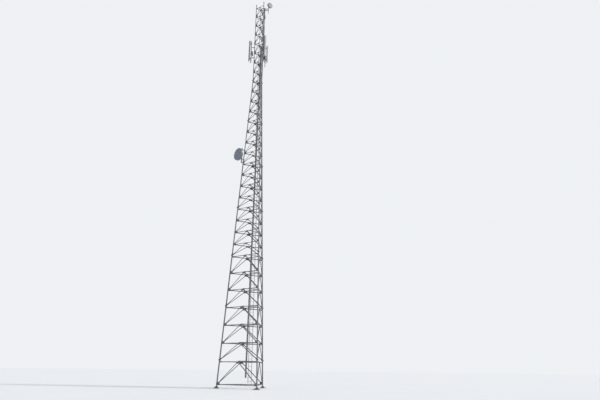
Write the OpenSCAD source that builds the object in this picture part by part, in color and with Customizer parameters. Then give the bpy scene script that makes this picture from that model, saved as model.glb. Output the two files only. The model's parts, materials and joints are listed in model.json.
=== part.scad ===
// Three-legged lattice mast for radio antennas, in millimetres.
// Round tubular legs, chevron bracing on three sides, plan bracing, a climbing ladder,
// a cable ladder with its feeders, two microwave dishes and three sector antennas.
// Origin: centre of the underside of the left leg's base plate.
// +X runs from the left leg to the mast's axis, +Z is up.

/* [Mast] */
// Distance from the mast's axis to each leg's axis at ground level
base_radius = 2420; // [2000:10:2430]
// Distance from the mast's axis to each leg's axis where the legs run upright
top_radius = 560; // [520:10:700]
// Height of the lowest ring of horizontals
base_ring_z = 305; // [280:5:500]
// Height of the first level above the base ring
first_level_z = 2110; // [2000:10:2200]
// Length of leg between two bolted joints: three bays in the lower section, four above it
section_length = 4500; // [4380:12:4560]
// Length of leg above the last level
leg_overrun = 400; // [380:10:600]
// Distance from a level up to the leg flanges above it
joint_rise = 165; // [155:5:180]

/* [Legs] */
// Outer diameter of the lower leg tubes
lower_leg_d = 114.3; // [100:0.1:125]
// Outer diameter of the middle leg tubes
middle_leg_d = 101.6; // [90:0.1:112]
// Outer diameter of the upper leg tubes
upper_leg_d = 88.9; // [80:0.1:100]
// Outer diameter of the top leg tubes
top_leg_d = 76.1; // [65:0.1:88]
// Wall of the leg tubes
leg_wall = 5; // [4:0.5:8]
// How far a leg flange stands out from its tube
flange_reach = 55; // [45:1:70]
// Thickness of one leg flange
flange_t = 20; // [15:1:25]
// Width of the square base plates
base_plate_w = 460; // [430:5:520]
// Thickness of the base plates
base_plate_t = 30; // [20:1:40]
// Diameter of the circle of anchor holes
anchor_pcd = 340; // [320:5:360]
// Diameter of each anchor hole
anchor_hole_d = 30; // [24:1:36]
// Number of anchor holes in a base plate
anchor_count = 8; // [4:4:12]
// Height of the ribs between base plate and leg
base_rib_h = 140; // [100:5:160]
// Thickness of the base ribs
base_rib_t = 10; // [8:1:14]

/* [Bracing] */
// Flange width of the lower bracing angles
lower_brace_w = 60; // [50:1:65]
// Flange width of the middle bracing angles
middle_brace_w = 55; // [45:1:60]
// Flange width of the upper bracing angles
upper_brace_w = 50; // [40:1:55]
// Flange width of the top bracing angles
top_brace_w = 45; // [38:1:48]
// Thickness of the bracing angles
brace_t = 6; // [5:0.5:8]
// Thickness of the gusset plates
gusset_t = 8; // [6:1:10]
// Flange width of the plan bracing angles
plan_w = 50; // [40:1:60]

/* [Ladder] */
// Outer width of the climbing ladder
ladder_w = 360; // [340:5:370]
// Depth of the ladder's stiles
stile_d = 50; // [40:1:60]
// Thickness of the ladder's stiles
stile_t = 8; // [6:1:10]
// Spacing of the rungs
rung_pitch = 300; // [280:5:320]
// Diameter of the rungs
rung_d = 20; // [18:1:24]
// Height of the ladder's lower end
ladder_start_z = 420; // [400:10:600]
// Distance from the ladder's back to the bars that carry it
ladder_standoff = 30; // [25:5:40]
// Sideways offset of the ladder from the middle of the bars that carry it
ladder_offset = 30; // [20:1:32]

/* [Cable ladder] */
// Outer width of the cable ladder
cable_ladder_w = 160; // [150:5:170]
// Depth of the cable ladder's rails
cable_rail_d = 30; // [25:1:35]
// Thickness of the cable ladder's rails
cable_rail_t = 5; // [4:0.5:6]
// Spacing of the cable ladder's rungs
cable_rung_pitch = 750; // [700:10:800]
// Diameter of a feeder cable
feeder_d = 22; // [18:1:24]
// Spacing of the feeder cables
feeder_pitch = 27; // [25:1:28]
// Number of feeder cables
feeder_count = 5; // [3:1:5]
// Height of the feeders' lower end
feeder_start_z = 900; // [800:10:1200]
// Distance from the tops of the sector antennas down to the feeders' upper end
feeder_drop = 500; // [400:10:900]
// Sideways offset of the cable ladder from the climbing ladder's middle at ground level
cable_offset = 520; // [450:5:560]

/* [Large dish] */
// Diameter of the large dish
dish_d = 1200; // [1100:10:1250]
// Height of the large dish's centre above the level below it
dish_rise = 830; // [800:10:900]
// Heading of the large dish, measured anticlockwise from +X
dish_heading = 227; // [222:1:230]
// Depth of the large dish's rim
dish_rim = 180; // [150:5:220]
// Depth of the large dish's bowl behind the rim
dish_bowl = 190; // [170:5:210]
// Rise of the large dish's cover in front of the rim
dish_cover_rise = 70; // [40:5:90]
// Distance from the left leg's axis to the large dish's pole
dish_pole_reach = 275; // [260:5:285]
// Length of the bracket between the large dish's pole and its bowl
dish_bracket = 55; // [50:1:70]
// Diameter of the pole that carries the large dish
dish_pole_d = 114.3; // [90:0.1:115]
// Length of the pole that carries the large dish
dish_pole_h = 1500; // [1400:10:1600]

/* [Small dish] */
// Diameter of the small dish at the mast's top
small_dish_d = 600; // [550:10:640]
// Height of the small dish's centre above the legs' tops
small_dish_rise = 170; // [120:5:200]
// Heading of the small dish, measured anticlockwise from +X
small_dish_heading = -47; // [-55:1:-40]
// Depth of the small dish's rim
small_dish_rim = 150; // [130:5:170]
// Depth of the small dish's bowl behind the rim
small_dish_bowl = 90; // [80:5:100]
// Rise of the small dish's cover in front of the rim
small_dish_cover_rise = 25; // [15:5:35]
// Distance from the rear leg's axis to the small dish's pole
small_pole_reach = 400; // [380:5:440]
// Direction from the rear leg to the small dish's pole, anticlockwise from +X
small_pole_heading = -10; // [-15:1:-5]
// Diameter of the small dish's pole
small_pole_d = 60.3; // [50:0.1:64]
// Length of the small dish's pole below its upper arm
small_pole_tail = 600; // [550:10:700]
// Length of the bracket between the small dish's pole and its bowl
small_dish_bracket = 50; // [45:1:60]

/* [Sector antennas] */
// Height of the tops of the sector antennas above the level below them
panel_rise = 320; // [290:10:350]
// Height of the left and front sector antennas
long_panel_h = 2330; // [2310:10:2370]
// Height of the rear sector antenna
short_panel_h = 1910; // [1860:10:1960]
// Width of a sector antenna
panel_w = 260; // [240:5:280]
// Depth of a sector antenna
panel_d = 120; // [100:5:130]
// Heading of the left sector antenna, anticlockwise from +X
left_heading = 206; // [200:1:220]
// Heading of the front sector antenna, anticlockwise from +X
front_heading = 325; // [310:1:335]
// Heading of the rear sector antenna, anticlockwise from +X
rear_heading = 355; // [350:1:370]
// Distance from the left leg's axis to its antenna pole's axis
left_pole_reach = 340; // [320:5:400]
// Distance from the front and rear legs' axes to their antenna poles' axes
right_pole_reach = 400; // [300:5:420]
// Diameter of the antenna poles
pole_d = 76.1; // [60:0.1:77]
// Length of the left and rear antenna poles
short_pole_h = 2580; // [2560:5:2595]
// Length of the front antenna pole
long_pole_h = 3810; // [3760:10:3910]
// Height of a pole's lowest arm above the pole's foot
first_arm = 585; // [575:5:620]
// Distance between a pole's arms
arm_pitch = 1225; // [1200:5:1250]
// Distance from a pole's axis to the back of its antenna
panel_standoff = 145; // [130:5:150]

/* [Hidden] */

// Running clearance between pieces that touch
gap = 0.3;
// Depth by which fused pieces run into each other
bite = 1;
// Facets of a round surface
round_fn = 48;
// Sides of a rung
rung_fn = 8;

left = 0;
front = 1;
rear = 2;
leg_angle = [180, 300, 60];
// The faces are named for where they look: front and rear meet at the left leg
front_face = 0;
right_face = 1;
rear_face = 2;
face_angle = [240, 0, 120];

// Levels at which each section of the mast starts, and the last level
section_level = [0, 7, 15, 23, 31];
last_level = section_level[4];
leg_d = [lower_leg_d, middle_leg_d, upper_leg_d, top_leg_d];
brace_w = [lower_brace_w, middle_brace_w, upper_brace_w, top_brace_w];
bolted_joints = [[1, 4], [11], [19], [27]];
joint_levels = [1, 4, 7, 11, 15, 19, 23, 27];
lower_bay = section_length / 3;
upper_bay = section_length / 4;

function level_z(i) = i == 0 ? base_ring_z
    : first_level_z + lower_bay * min(i - 1, section_level[1] - 1)
    + upper_bay * max(0, i - section_level[1]);
function joint_z(i) = level_z(i) + joint_rise;
function has_joint(i) = len([for (j = joint_levels) if (j == i) j]) > 0;
// Height at which the diagonals above a level set off from the legs
function foot_z(i) = has_joint(i) ? joint_z(i) : level_z(i);

dish_level = 15;
panel_level = 27;
knee_z = joint_z(section_level[3]);
leg_top_z = level_z(last_level) + leg_overrun;
top_plate_t = 12;
spread = base_radius - top_radius;
leg_lean = atan(spread / knee_z);
plan_lean = atan(spread / 4 / knee_z);
slab_w = 2 * base_radius + base_plate_w;
dish_z = level_z(dish_level) + dish_rise;
small_dish_z = leg_top_z + small_dish_rise;
panel_top_z = level_z(panel_level) + panel_rise;
feeder_end_z = panel_top_z - feeder_drop;

function leg_d_at(z) = z < joint_z(section_level[1]) ? leg_d[0] : z < joint_z(section_level[2]) ? leg_d[1]
    : z < joint_z(section_level[3]) ? leg_d[2] : leg_d[3];
function radius_at(z) = z < knee_z ? base_radius - spread * z / knee_z : top_radius;
function half_side_at(z) = radius_at(z) * sin(60);
function section_of(i) = i <= section_level[1] ? 0 : i <= section_level[2] ? 1
    : i <= section_level[3] ? 2 : 3;
function lean_at(z) = z < knee_z ? 1 : 0;
function face_lean_between(z0, z1) = atan((radius_at(z0) - radius_at(z1)) / 2 / (z1 - z0));

// Frames that place a shape on the mast

module on_axis(angle) {
    translate([base_radius, 0, 0])
        rotate([0, 0, angle])
            children();
}

// Local z runs up the leg's axis, local x points away from the mast
module on_leg(leg, z) {
    on_axis(leg_angle[leg])
        translate([radius_at(z), 0, z])
            rotate([0, -leg_lean * lean_at(z), 0])
                children();
}

// Local x points outward, local y runs along the face and local z is upright
module on_level(face, z) {
    on_axis(face_angle[face])
        translate([radius_at(z) / 2, 0, z])
            children();
}

// As on_level, but leaning as the face does from there to the height z1
module on_face(face, z, z1) {
    on_level(face, z)
        rotate([0, -face_lean_between(z, z1), 0])
            children();
}

// Keeps what lies between two heights
module between(z0, z1) {
    intersection() {
        children();
        translate([base_radius - slab_w, -slab_w, z0])
            cube([2 * slab_w, 2 * slab_w, z1 - z0]);
    }
}

// Legs

module leg_tube(leg, z0, z1, d) {
    mid = (z0 + z1) / 2;
    half = (z1 - z0) / 2 + d;
    between(z0, z1)
        on_leg(leg, mid)
            translate([0, 0, -half])
                difference() {
                    cylinder(d = d, h = 2 * half, $fn = round_fn);
                    translate([0, 0, -bite])
                        cylinder(d = d - 2 * leg_wall, h = 2 * half + 2 * bite, $fn = round_fn);
                }
}

// A round flange above (up = 1) or below (up = -1) a joint, with four ribs to its tube
module leg_flange(leg, joint, up, outer_d, tube_d) {
    bore_d = tube_d - 3 * leg_wall;
    on_axis(leg_angle[leg])
        translate([radius_at(joint), 0, joint])
            difference() {
                union() {
                    translate([0, 0, up > 0 ? gap / 2 : -gap / 2 - flange_t])
                        cylinder(d = outer_d, h = flange_t, $fn = round_fn);
                    mirror([0, 0, up > 0 ? 0 : 1])
                        translate([0, 0, gap / 2 + flange_t - bite])
                            flange_ribs(outer_d / 2 - flange_edge, tube_d / 2);
                }
                rotate([0, -leg_lean * lean_at(joint), 0])
                    translate([0, 0, -2 * flange_rib_h])
                        cylinder(d = bore_d, h = 4 * flange_rib_h, $fn = round_fn);
            }
}

flange_edge = 6;
flange_rib_t = 8;
flange_rib_h = 60;

module flange_ribs(out, tube_r) {
    for (i = [0:3])
        rotate([0, 0, i * 90])
            translate([0, flange_rib_t / 2, 0])
                rotate([90, 0, 0])
                    linear_extrude(flange_rib_t)
                        polygon([[0, 0], [out, 0], [out, flange_edge],
                            [tube_r + flange_edge, flange_rib_h], [0, flange_rib_h]]);
}

module base_plate() {
    difference() {
        translate([-base_plate_w / 2, -base_plate_w / 2, 0])
            cube([base_plate_w, base_plate_w, base_plate_t]);
        for (i = [0:anchor_count - 1])
            rotate([0, 0, (i + 0.5) * 360 / anchor_count])
                translate([anchor_pcd / 2, 0, -bite])
                    cylinder(d = anchor_hole_d, h = base_plate_t + 2 * bite, $fn = round_fn);
    }
}

// Upright ribs between the anchor holes, clear of the leg's bore
module base_ribs() {
    rib_out = base_plate_w / 2 - base_rib_t;
    rib_top = lower_leg_d / 2 + 2 * base_rib_t;
    difference() {
        for (i = [0:3])
            rotate([0, 0, i * 90])
                translate([0, base_rib_t / 2, base_plate_t - bite])
                    rotate([90, 0, 0])
                        linear_extrude(base_rib_t)
                            polygon([[0, 0], [rib_out, 0], [rib_out, base_rib_t],
                                [rib_top, base_rib_h], [0, base_rib_h]]);
        rotate([0, -leg_lean, 0])
            cylinder(d = lower_leg_d - 2 * leg_wall, h = 2 * base_rib_h, $fn = round_fn);
    }
}

module base_foot(leg) {
    on_axis(leg_angle[leg])
        translate([base_radius, 0, 0]) {
            base_plate();
            base_ribs();
        }
}

module leg_section(leg, section) {
    first = section_level[section];
    last = section_level[section + 1];
    d = leg_d[section];
    z0 = section == 0 ? base_plate_t - bite : joint_z(first) + gap / 2;
    z1 = section == 3 ? leg_top_z : joint_z(last) - gap / 2;
    leg_tube(leg, z0, z1, d);
    if (section > 0)
        leg_flange(leg, joint_z(first), 1, leg_d[section - 1] + 2 * flange_reach, d);
    if (section < 3)
        leg_flange(leg, joint_z(last), -1, d + 2 * flange_reach, d);
    for (i = bolted_joints[section])
        for (up = [-1, 1])
            leg_flange(leg, joint_z(i), up, d + 2 * flange_reach, d);
    if (section == 0)
        base_foot(leg);
    if (section == 3)
        on_axis(leg_angle[leg])
            translate([top_radius, 0, leg_top_z - bite])
                cylinder(d = d + flange_reach, h = top_plate_t + bite, $fn = round_fn);
}

// Bracing. Each angle has one flange in the face, on the gussets' inner side, and one
// turned inward.

module angle_profile(w) {
    inner = bite - gusset_t / 2;
    translate([inner - brace_t, -w / 2])
        square([brace_t, w]);
    translate([inner - w, w / 2 - brace_t])
        square([w, brace_t]);
}

// An angle whose length runs along local y, with its inward flange along its upper edge
module brace_bar(length, w) {
    rotate([-90, 0, 0])
        linear_extrude(length)
            mirror([0, 1, 0])
                angle_profile(w);
}

// A plate in the face's plane, outlined as [along, up]
module face_plate(outline) {
    translate([-gusset_t / 2, 0, 0])
        rotate([90, 0, 90])
            linear_extrude(gusset_t)
                polygon(outline);
}

// Distance along the face from a leg's axis to the ends of the bars there
bar_end_gap = 5;
function bar_start(w) = (w + gusset_t) / tan(30) + bar_end_gap;

// How far a gusset covers each bar's end
function lap(w) = 2.2 * w;

// Half width of a gusset where it ends square across a bar
function gusset_half(w) = w / 2 + 3;

// Where a gusset ends on the lower side of a diagonal, from the middle of the face
function gusset_tip(z, w, slope) = [
    half_side_at(z) - bar_start(w) - lap(w) * cos(slope) - gusset_half(w) * sin(slope),
    (bar_start(w) / cos(slope) + lap(w)) * sin(slope) - gusset_half(w) * cos(slope)];

// Plate at a leg for the horizontal alone, drawn on the side where along is positive
module level_gusset(z, tube_d, w) {
    clear = tube_d / 2 + 2 * gap;
    low = -0.9 * w;
    high = 0.8 * w;
    inner = half_side_at(z) - bar_start(w) - lap(w);
    face_plate([[half_side_at(z + low) - clear, low], [inner, low], [inner, high],
        [half_side_at(z + high) - clear, high]]);
}

// Plate at a leg for the horizontal and the diagonal above it, square across their ends
module full_gusset(z, tube_d, w, high, slope) {
    clear = tube_d / 2 + 2 * gap;
    low = -0.9 * w;
    inner = half_side_at(z) - bar_start(w) - lap(w);
    tip = gusset_tip(z, w, slope);
    face_plate([[half_side_at(z + low) - clear, low], [inner, low], [inner, gusset_half(w)], tip,
        [tip.x + (high - tip.y) * tan(slope), high], [half_side_at(z + high) - clear, high]]);
}

// Plate at a leg for the foot of a diagonal alone, just above a joint's flanges
module foot_gusset(z, tube_d, w, high, slope) {
    clear = tube_d / 2 + 2 * gap;
    low = flange_t + foot_clearance;
    tip = gusset_tip(z, w, slope);
    inner = min(half_side_at(z) - 0.8 * bar_start(w), tip.x + (tip.y - low) / tan(slope));
    face_plate([[half_side_at(z + low) - clear, low], [inner, low], tip,
        [tip.x + (high - tip.y) * tan(slope), high], [half_side_at(z + high) - clear, high]]);
}

foot_clearance = 15;

// Plate under the middle of a horizontal, square across the ends of its two diagonals
module middle_gusset(w, slope) {
    far = [(w + lap(w)) * cos(slope), -(w + lap(w)) * sin(slope)];
    across = [sin(slope) * gusset_half(w), cos(slope) * gusset_half(w)];
    outer = far + across;
    inner = far - across;
    face_plate([[-outer.x, w / 2], [outer.x, w / 2], outer, inner, [-inner.x, inner.y], [-outer.x, outer.y]]);
}

module horizontal(face, z, w) {
    reach = half_side_at(z) - bar_start(w);
    on_level(face, z)
        translate([0, -reach, 0])
            brace_bar(2 * reach, w);
}

// A chevron's two diagonals, from the legs at one level up to the middle of the next
module diagonals(face, z0, z1, w) {
    rise = (z1 - z0) / cos(face_lean_between(z0, z1));
    half = half_side_at(z0);
    run = norm([half, rise]);
    start = bar_start(w) * run / half;
    on_face(face, z0, z1)
        for (side = [0, 1])
            mirror([0, side, 0])
                translate([0, -half, 0])
                    rotate([atan2(rise, half), 0, 0])
                        translate([0, start, 0])
                            brace_bar(run - w - start, w);
}

// Slope of the diagonals above a level, and height of the plates that hold their feet
function slope_above(i) = atan2(level_z(i + 1) - foot_z(i), half_side_at(foot_z(i)));
function gusset_top(i, w) = (bar_start(w) / cos(slope_above(i)) + lap(w)) * sin(slope_above(i));

// Places a plate at both legs of a face
module at_legs(face, z, high) {
    on_face(face, z, z + high)
        for (side = [0, 1])
            mirror([0, side, 0])
                children();
}

module face_section(face, section) {
    first = section_level[section];
    last = section_level[section + 1];
    w = brace_w[section];
    tube_d = leg_d[section];
    for (i = [first:last - 1]) {
        z = foot_z(i);
        high = gusset_top(i, w);
        diagonals(face, z, level_z(i + 1), w);
        at_legs(face, z, high) {
            if (has_joint(i))
                foot_gusset(z, tube_d, w, high, slope_above(i));
            else
                full_gusset(z, tube_d, w, high, slope_above(i));
        }
    }
    for (i = [first + 1:last])
        if (has_joint(i) || i == last_level)
            at_legs(face, level_z(i), w)
                level_gusset(level_z(i), tube_d, w);
    for (i = [(section == 0 ? 0 : first + 1):last])
        horizontal(face, level_z(i), w);
    for (i = [first + 1:last])
        on_level(face, level_z(i))
            middle_gusset(w, slope_above(i - 1));
}

// Plan bracing: three bars a level, laid over the middles of the horizontals' inward flanges.
// The bar beside a leg crosses between the two faces that meet there.

plan_plate_w = 2.4 * plan_w;
plan_inset = 60;
plan_shift = plan_w / 2;

// Height of the underside of the plan bars' end plates at a level
function plan_z(i) = level_z(i) + brace_w[section_of(i)] / 2 + gap;
function plan_bar_r(i) = (radius_at(level_z(i)) / 2 - plan_inset) / 2 + plan_shift * sin(60);
function plan_bar_half(i) = (radius_at(level_z(i)) / 2 - plan_inset) * sin(60) - plan_shift / 2;

module plan_bar(leg, i) {
    half = plan_bar_half(i);
    w = brace_w[section_of(i)];
    on_axis(leg_angle[leg])
        translate([plan_bar_r(i), -half, plan_z(i)])
            rotate([-90, 0, 0])
                linear_extrude(2 * half)
                    mirror([0, 1, 0]) {
                        translate([-plan_w / 2, gusset_t - bite])
                            square([plan_w, brace_t]);
                        translate([-plan_w / 2, gusset_t - bite])
                            square([brace_t, plan_w]);
                    }
    for (end = [0, 1])
        on_axis(leg_angle[leg])
            mirror([0, end, 0])
                rotate([0, 0, 60])
                    translate([radius_at(level_z(i)) / 2 - plan_inset - w, -plan_plate_w, plan_z(i)])
                        cube([plan_inset + w - gusset_t / 2 - brace_t, plan_plate_w - gap, gusset_t]);
}

lower_plan_levels = [1, 2, 3, 4, 5, 6, 7];
upper_plan_levels = [9, 11, 13, 15];
ladder_bar_levels = [17, 19, 21, 23, 25, 27, 29, 31];

module plan_bracing(levels) {
    for (i = levels)
        for (leg = [left, front, rear])
            plan_bar(leg, i);
}

module ladder_bars() {
    for (i = ladder_bar_levels)
        plan_bar(rear, i);
}

// Climbing ladder, on the side of the rear leg's plan bars that looks to the mast's axis

ladder_levels = concat(lower_plan_levels, upper_plan_levels, ladder_bar_levels);
ladder_r_drop = plan_w / 2 + gap + ladder_standoff + stile_d / 2;
cleat_t = 0.7 * stile_t;

function ladder_r(z) = (radius_at(z) / 2 - plan_inset) / 2 + plan_shift * sin(60) - ladder_r_drop;

// Local z runs up the ladder, local x away from the mast's axis
module on_ladder(z) {
    on_axis(leg_angle[rear])
        translate([ladder_r(z), -ladder_offset, z])
            rotate([0, -plan_lean * lean_at(z), 0])
                children();
}

module ladder_section(z0, z1) {
    mid = (z0 + z1) / 2;
    length = (z1 - z0) / cos(plan_lean * lean_at(mid));
    span = ladder_w - stile_t;
    on_ladder(z0) {
        for (side = [-1, 1])
            translate([-stile_d / 2, side * span / 2 - stile_t / 2, 0])
                cube([stile_d, stile_t, length]);
        for (h = [rung_pitch / 2:rung_pitch:length - rung_d])
            translate([0, -span / 2, h])
                rotate([-90, 0, 0])
                    cylinder(d = rung_d, h = span, $fn = rung_fn);
    }
    for (i = ladder_levels)
        if (plan_z(i) > z0 && plan_z(i) + plan_w < z1)
            ladder_brackets(plan_z(i) + plan_w / 2);
}

// Cleats from the stiles' backs to the bar that carries the ladder
module ladder_brackets(z) {
    span = ladder_w - stile_t;
    on_axis(leg_angle[rear])
        translate([ladder_r(z), -ladder_offset, z])
            for (side = [-1, 1])
                translate([stile_d / 2 - 3 * bite, side * span / 2 - cleat_t / 2, -plan_w / 4])
                    cube([ladder_standoff + 3 * bite, cleat_t, plan_w / 2]);
}

// Cable ladder and feeders, on the other side of the same bars

cable_r_rise = plan_w / 2 + gap + plan_w * tan(plan_lean) + cable_rail_d / 2;
cable_lean = atan(cable_offset / knee_z);

function cable_r(z) = (radius_at(z) / 2 - plan_inset) / 2 + plan_shift * sin(60) + cable_r_rise;
function cable_along(z) = z < knee_z ? cable_offset * (1 - z / knee_z) : 0;

module on_cable_ladder(z) {
    on_axis(leg_angle[rear])
        translate([cable_r(z), cable_along(z), z])
            rotate([cable_lean * lean_at(z), -plan_lean * lean_at(z), 0])
                children();
}

module cable_ladder_run(z0, z1) {
    mid = (z0 + z1) / 2;
    length = (z1 - z0) / cos(plan_lean * lean_at(mid)) / cos(cable_lean * lean_at(mid));
    inside = cable_ladder_w / 2 - cable_rail_t;
    on_cable_ladder(z0) {
        for (side = [-1, 1])
            translate([-cable_rail_d / 2, side * (inside + cable_rail_t / 2) - cable_rail_t / 2, 0])
                cube([cable_rail_d, cable_rail_t, length]);
        for (h = [cable_rung_pitch / 2:cable_rung_pitch:length - cable_rail_d])
            translate([-cable_rail_t, -inside - bite, h])
                cube([cable_rail_t, 2 * (inside + bite), cable_rail_d]);
    }
}

module feeder_run(z0, z1) {
    mid = (z0 + z1) / 2;
    length = (z1 - z0) / cos(plan_lean * lean_at(mid)) / cos(cable_lean * lean_at(mid));
    on_cable_ladder(z0)
        for (i = [0:feeder_count - 1])
            translate([feeder_d / 2 + gap, (i - (feeder_count - 1) / 2) * feeder_pitch, 0])
                cylinder(d = feeder_d, h = length, $fn = 12);
}

// Dishes. Local x points where the dish looks, with the rim's front edge at x = 0.

dish_skin = 4;
dish_lip = 8;
dish_steps = 10;

function bowl_curve(r, depth, x, steps) = [for (i = [0:steps])
    let (t = i / steps) [r * t, x - depth * (1 - t * t)]];

module dish_body(d, rim, bowl, hub) {
    r = d / 2;
    drum = r - dish_lip;
    ts = concat([for (i = [dish_steps - 1:-1:ceil(dish_steps * hub / drum)]) i / dish_steps], hub / drum);
    bead = rim / 2;
    rotate([0, 90, 0])
        rotate_extrude($fn = round_fn)
            polygon(concat(bowl_curve(drum - dish_skin, bowl - dish_skin, -rim, dish_steps),
                [[drum - dish_skin, 0], [r, 0], [r, -2 * dish_lip], [drum, -3 * dish_lip],
                    [drum, dish_lip - bead], [drum + dish_lip / 2, -bead], [drum, -dish_lip - bead],
                    [drum, -rim - dish_skin]],
                [for (t = ts) [drum * t, -rim - dish_skin - (bowl - dish_skin) * (1 - t * t)]],
                [[hub, -rim - bowl], [0, -rim - bowl]]));
}

module dish_cover(d, rise) {
    r = d / 2;
    rotate([0, 90, 0])
        rotate_extrude($fn = round_fn)
            polygon(concat([[0, rise + dish_skin / 2]],
                [for (i = [1:dish_steps])
                    let (t = i / dish_steps)
                    [r * t, rise * (1 - t * t * t) + dish_skin / 2]],
                [[r, gap], [r - 3 * dish_skin, gap]],
                [for (i = [dish_steps - 1:-1:0])
                    let (t = i / dish_steps, s = 1 - 3 * dish_skin / r)
                    [r * t * s, rise * (1 - t * t * t) - dish_skin / 2 + dish_skin * t * t]]));
}

// A clamp ring round an upright or leaning tube, with a running clearance
module clamp_ring(tube_d, height) {
    difference() {
        translate([0, 0, -height / 2])
            cylinder(d = tube_d + 2 * clamp_wall, h = height, $fn = round_fn);
        translate([0, 0, -height])
            cylinder(d = tube_d + 2 * gap, h = 2 * height, $fn = round_fn);
    }
}

// Upright frame at a leg's axis, with local x turned to a heading
module on_heading(leg, heading, z) {
    on_axis(leg_angle[leg])
        translate([radius_at(z), 0, z])
            rotate([0, 0, heading - leg_angle[leg]])
                children();
}

arm_w = 50;
clamp_h = 70;
clamp_wall = 20;
pole_wall = 4;

// What a pole's bore takes away, above and below a height
module pole_bore(d, h) {
    translate([0, 0, -h])
        cylinder(d = d - 2 * pole_wall, h = 2 * h, $fn = round_fn);
}

module pole(d, h) {
    difference() {
        cylinder(d = d, h = h, $fn = round_fn);
        pole_bore(d, h + bite);
    }
}

// An arm from a clamp on a leg to a pole whose axis is at the given reach
module pole_arm(leg, heading, z, reach, pole_diameter) {
    tube_d = leg_d_at(z);
    on_leg(leg, z)
        clamp_ring(tube_d, clamp_h);
    on_heading(leg, heading, z)
        difference() {
            translate([tube_d / 2 + arm_w / 4, -arm_w / 2, -arm_w / 2])
                cube([reach - tube_d / 2 - arm_w / 4, arm_w, arm_w]);
            translate([reach, 0, 0])
                pole_bore(pole_diameter, clamp_h);
        }
}

bracket_plate_t = 12;
saddle_h = 45;

// Carries a dish: a round plate at the back of its hub, two side plates and two saddles on the pole
module hub_bracket(hub, reach, pole_diameter) {
    pole_r = pole_diameter / 2;
    half_w = hub / 2 + bracket_plate_t;
    difference() {
        union() {
            translate([reach - bracket_plate_t, 0, 0])
                rotate([0, 90, 0])
                    cylinder(r = hub, h = bracket_plate_t, $fn = round_fn);
            for (side = [0, 1])
                mirror([0, side, 0])
                    translate([0, half_w, 0])
                        rotate([90, 0, 0])
                            linear_extrude(bracket_plate_t)
                                polygon([[0, -hub * 0.5], [reach - bite, -hub * 0.8],
                                    [reach - bite, hub * 0.8], [0, hub * 0.5]]);
            for (up = [-1, 1])
                translate([-pole_r - bracket_plate_t, -half_w, up * hub * 0.35 - saddle_h / 2])
                    cube([2 * pole_r + bracket_plate_t, 2 * half_w, saddle_h]);
        }
        pole_bore(pole_diameter, 2 * hub);
    }
}

// Large dish beside the left leg, on an upright pole whose two arms reach the leaning leg

dish_hub = 130;
dish_out = dish_pole_d / 2 + dish_bracket + dish_bowl + dish_rim;
// The lower arm sits above the gussets over the joint, the upper one above the next level's
low_dish_arm_rise = 325;
high_dish_arm_rise = 335;
dish_arm_z = [joint_z(dish_level) + low_dish_arm_rise, level_z(dish_level + 1) + high_dish_arm_rise];

module on_dish_pole(z) {
    on_heading(left, dish_heading, dish_z)
        translate([dish_pole_reach, 0, z - dish_z])
            children();
}

module dish_arm(z) {
    on_leg(left, z)
        clamp_ring(leg_d_at(z), clamp_h);
    difference() {
        on_dish_pole(z)
            translate([-dish_pole_reach, -arm_w / 2, -arm_w / 2])
                cube([dish_pole_reach, arm_w, arm_w]);
        on_leg(left, z)
            translate([0, 0, -clamp_h])
                cylinder(d = leg_d_at(z) + arm_w / 2, h = 2 * clamp_h, $fn = round_fn);
        on_dish_pole(z)
            pole_bore(dish_pole_d, clamp_h);
    }
}

// Sector antennas and their poles, one on each leg

pole_reach = [left_pole_reach, right_pole_reach, right_pole_reach];
pole_h = [short_pole_h, long_pole_h, short_pole_h];
pole_top_rise = 50;
pole_foot_z = panel_top_z + pole_top_rise - short_pole_h;
panel_h = [long_panel_h, long_panel_h, short_panel_h];
panel_heading = [left_heading, front_heading, rear_heading];
arm_z = [for (i = [0:2]) pole_foot_z + first_arm + i * arm_pitch];
bracket_h = 80;

module on_pole(leg, z) {
    on_axis(leg_angle[leg])
        translate([top_radius + pole_reach[leg], 0, z])
            children();
}

module pole_mount(leg) {
    on_pole(leg, pole_foot_z)
        pole(pole_d, pole_h[leg]);
    for (z = arm_z)
        if (z < pole_foot_z + pole_h[leg] - clamp_h)
            pole_arm(leg, leg_angle[leg], z, top_radius + pole_reach[leg] - radius_at(z), pole_d);
}

// Plan of an antenna's cover: a flat back, straight sides and a rounded front
function cover_plan(w, d) = concat([[0, w * 0.46], [0, -w * 0.46], [d * 0.06, -w / 2]],
    [for (i = [0:cover_steps])
        let (a = -90 + i * 180 / cover_steps) [d * (0.4 + 0.6 * cos(a)), w / 2 * sin(a)]],
    [[d * 0.06, w / 2]]);

cover_steps = 20;
cap_h = 30;
cap_lip = 3;
socket_d = 24;
socket_h = 30;

module panel_body(h) {
    translate([0, 0, cap_h - bite])
        linear_extrude(h - 2 * cap_h + 2 * bite)
            polygon(cover_plan(panel_w - 2 * cap_lip, panel_d - cap_lip));
    for (z = [0, h - cap_h])
        translate([0, 0, z])
            linear_extrude(cap_h)
                polygon(cover_plan(panel_w, panel_d));
    for (side = [-1.5:1.5])
        translate([panel_d * 0.4, side * panel_w / 5, -socket_h])
            cylinder(d = socket_d, h = socket_h + bite, $fn = 24);
}

// Two side plates from a clamp on the pole to a plate on the antenna's back
module panel_bracket() {
    ring_r = pole_d / 2 + clamp_wall / 2;
    plate_t = 8;
    clamp_ring(pole_d, bracket_h);
    for (side = [-1, 1])
        translate([ring_r - 2 * plate_t, side * (arm_w / 2 + plate_t / 2) - plate_t / 2, -bracket_h / 2])
            cube([panel_standoff - ring_r + 2 * plate_t, plate_t, bracket_h]);
    translate([panel_standoff - plate_t, -arm_w, -bracket_h / 2])
        cube([plate_t + bite, 2 * arm_w, bracket_h]);
}

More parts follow.
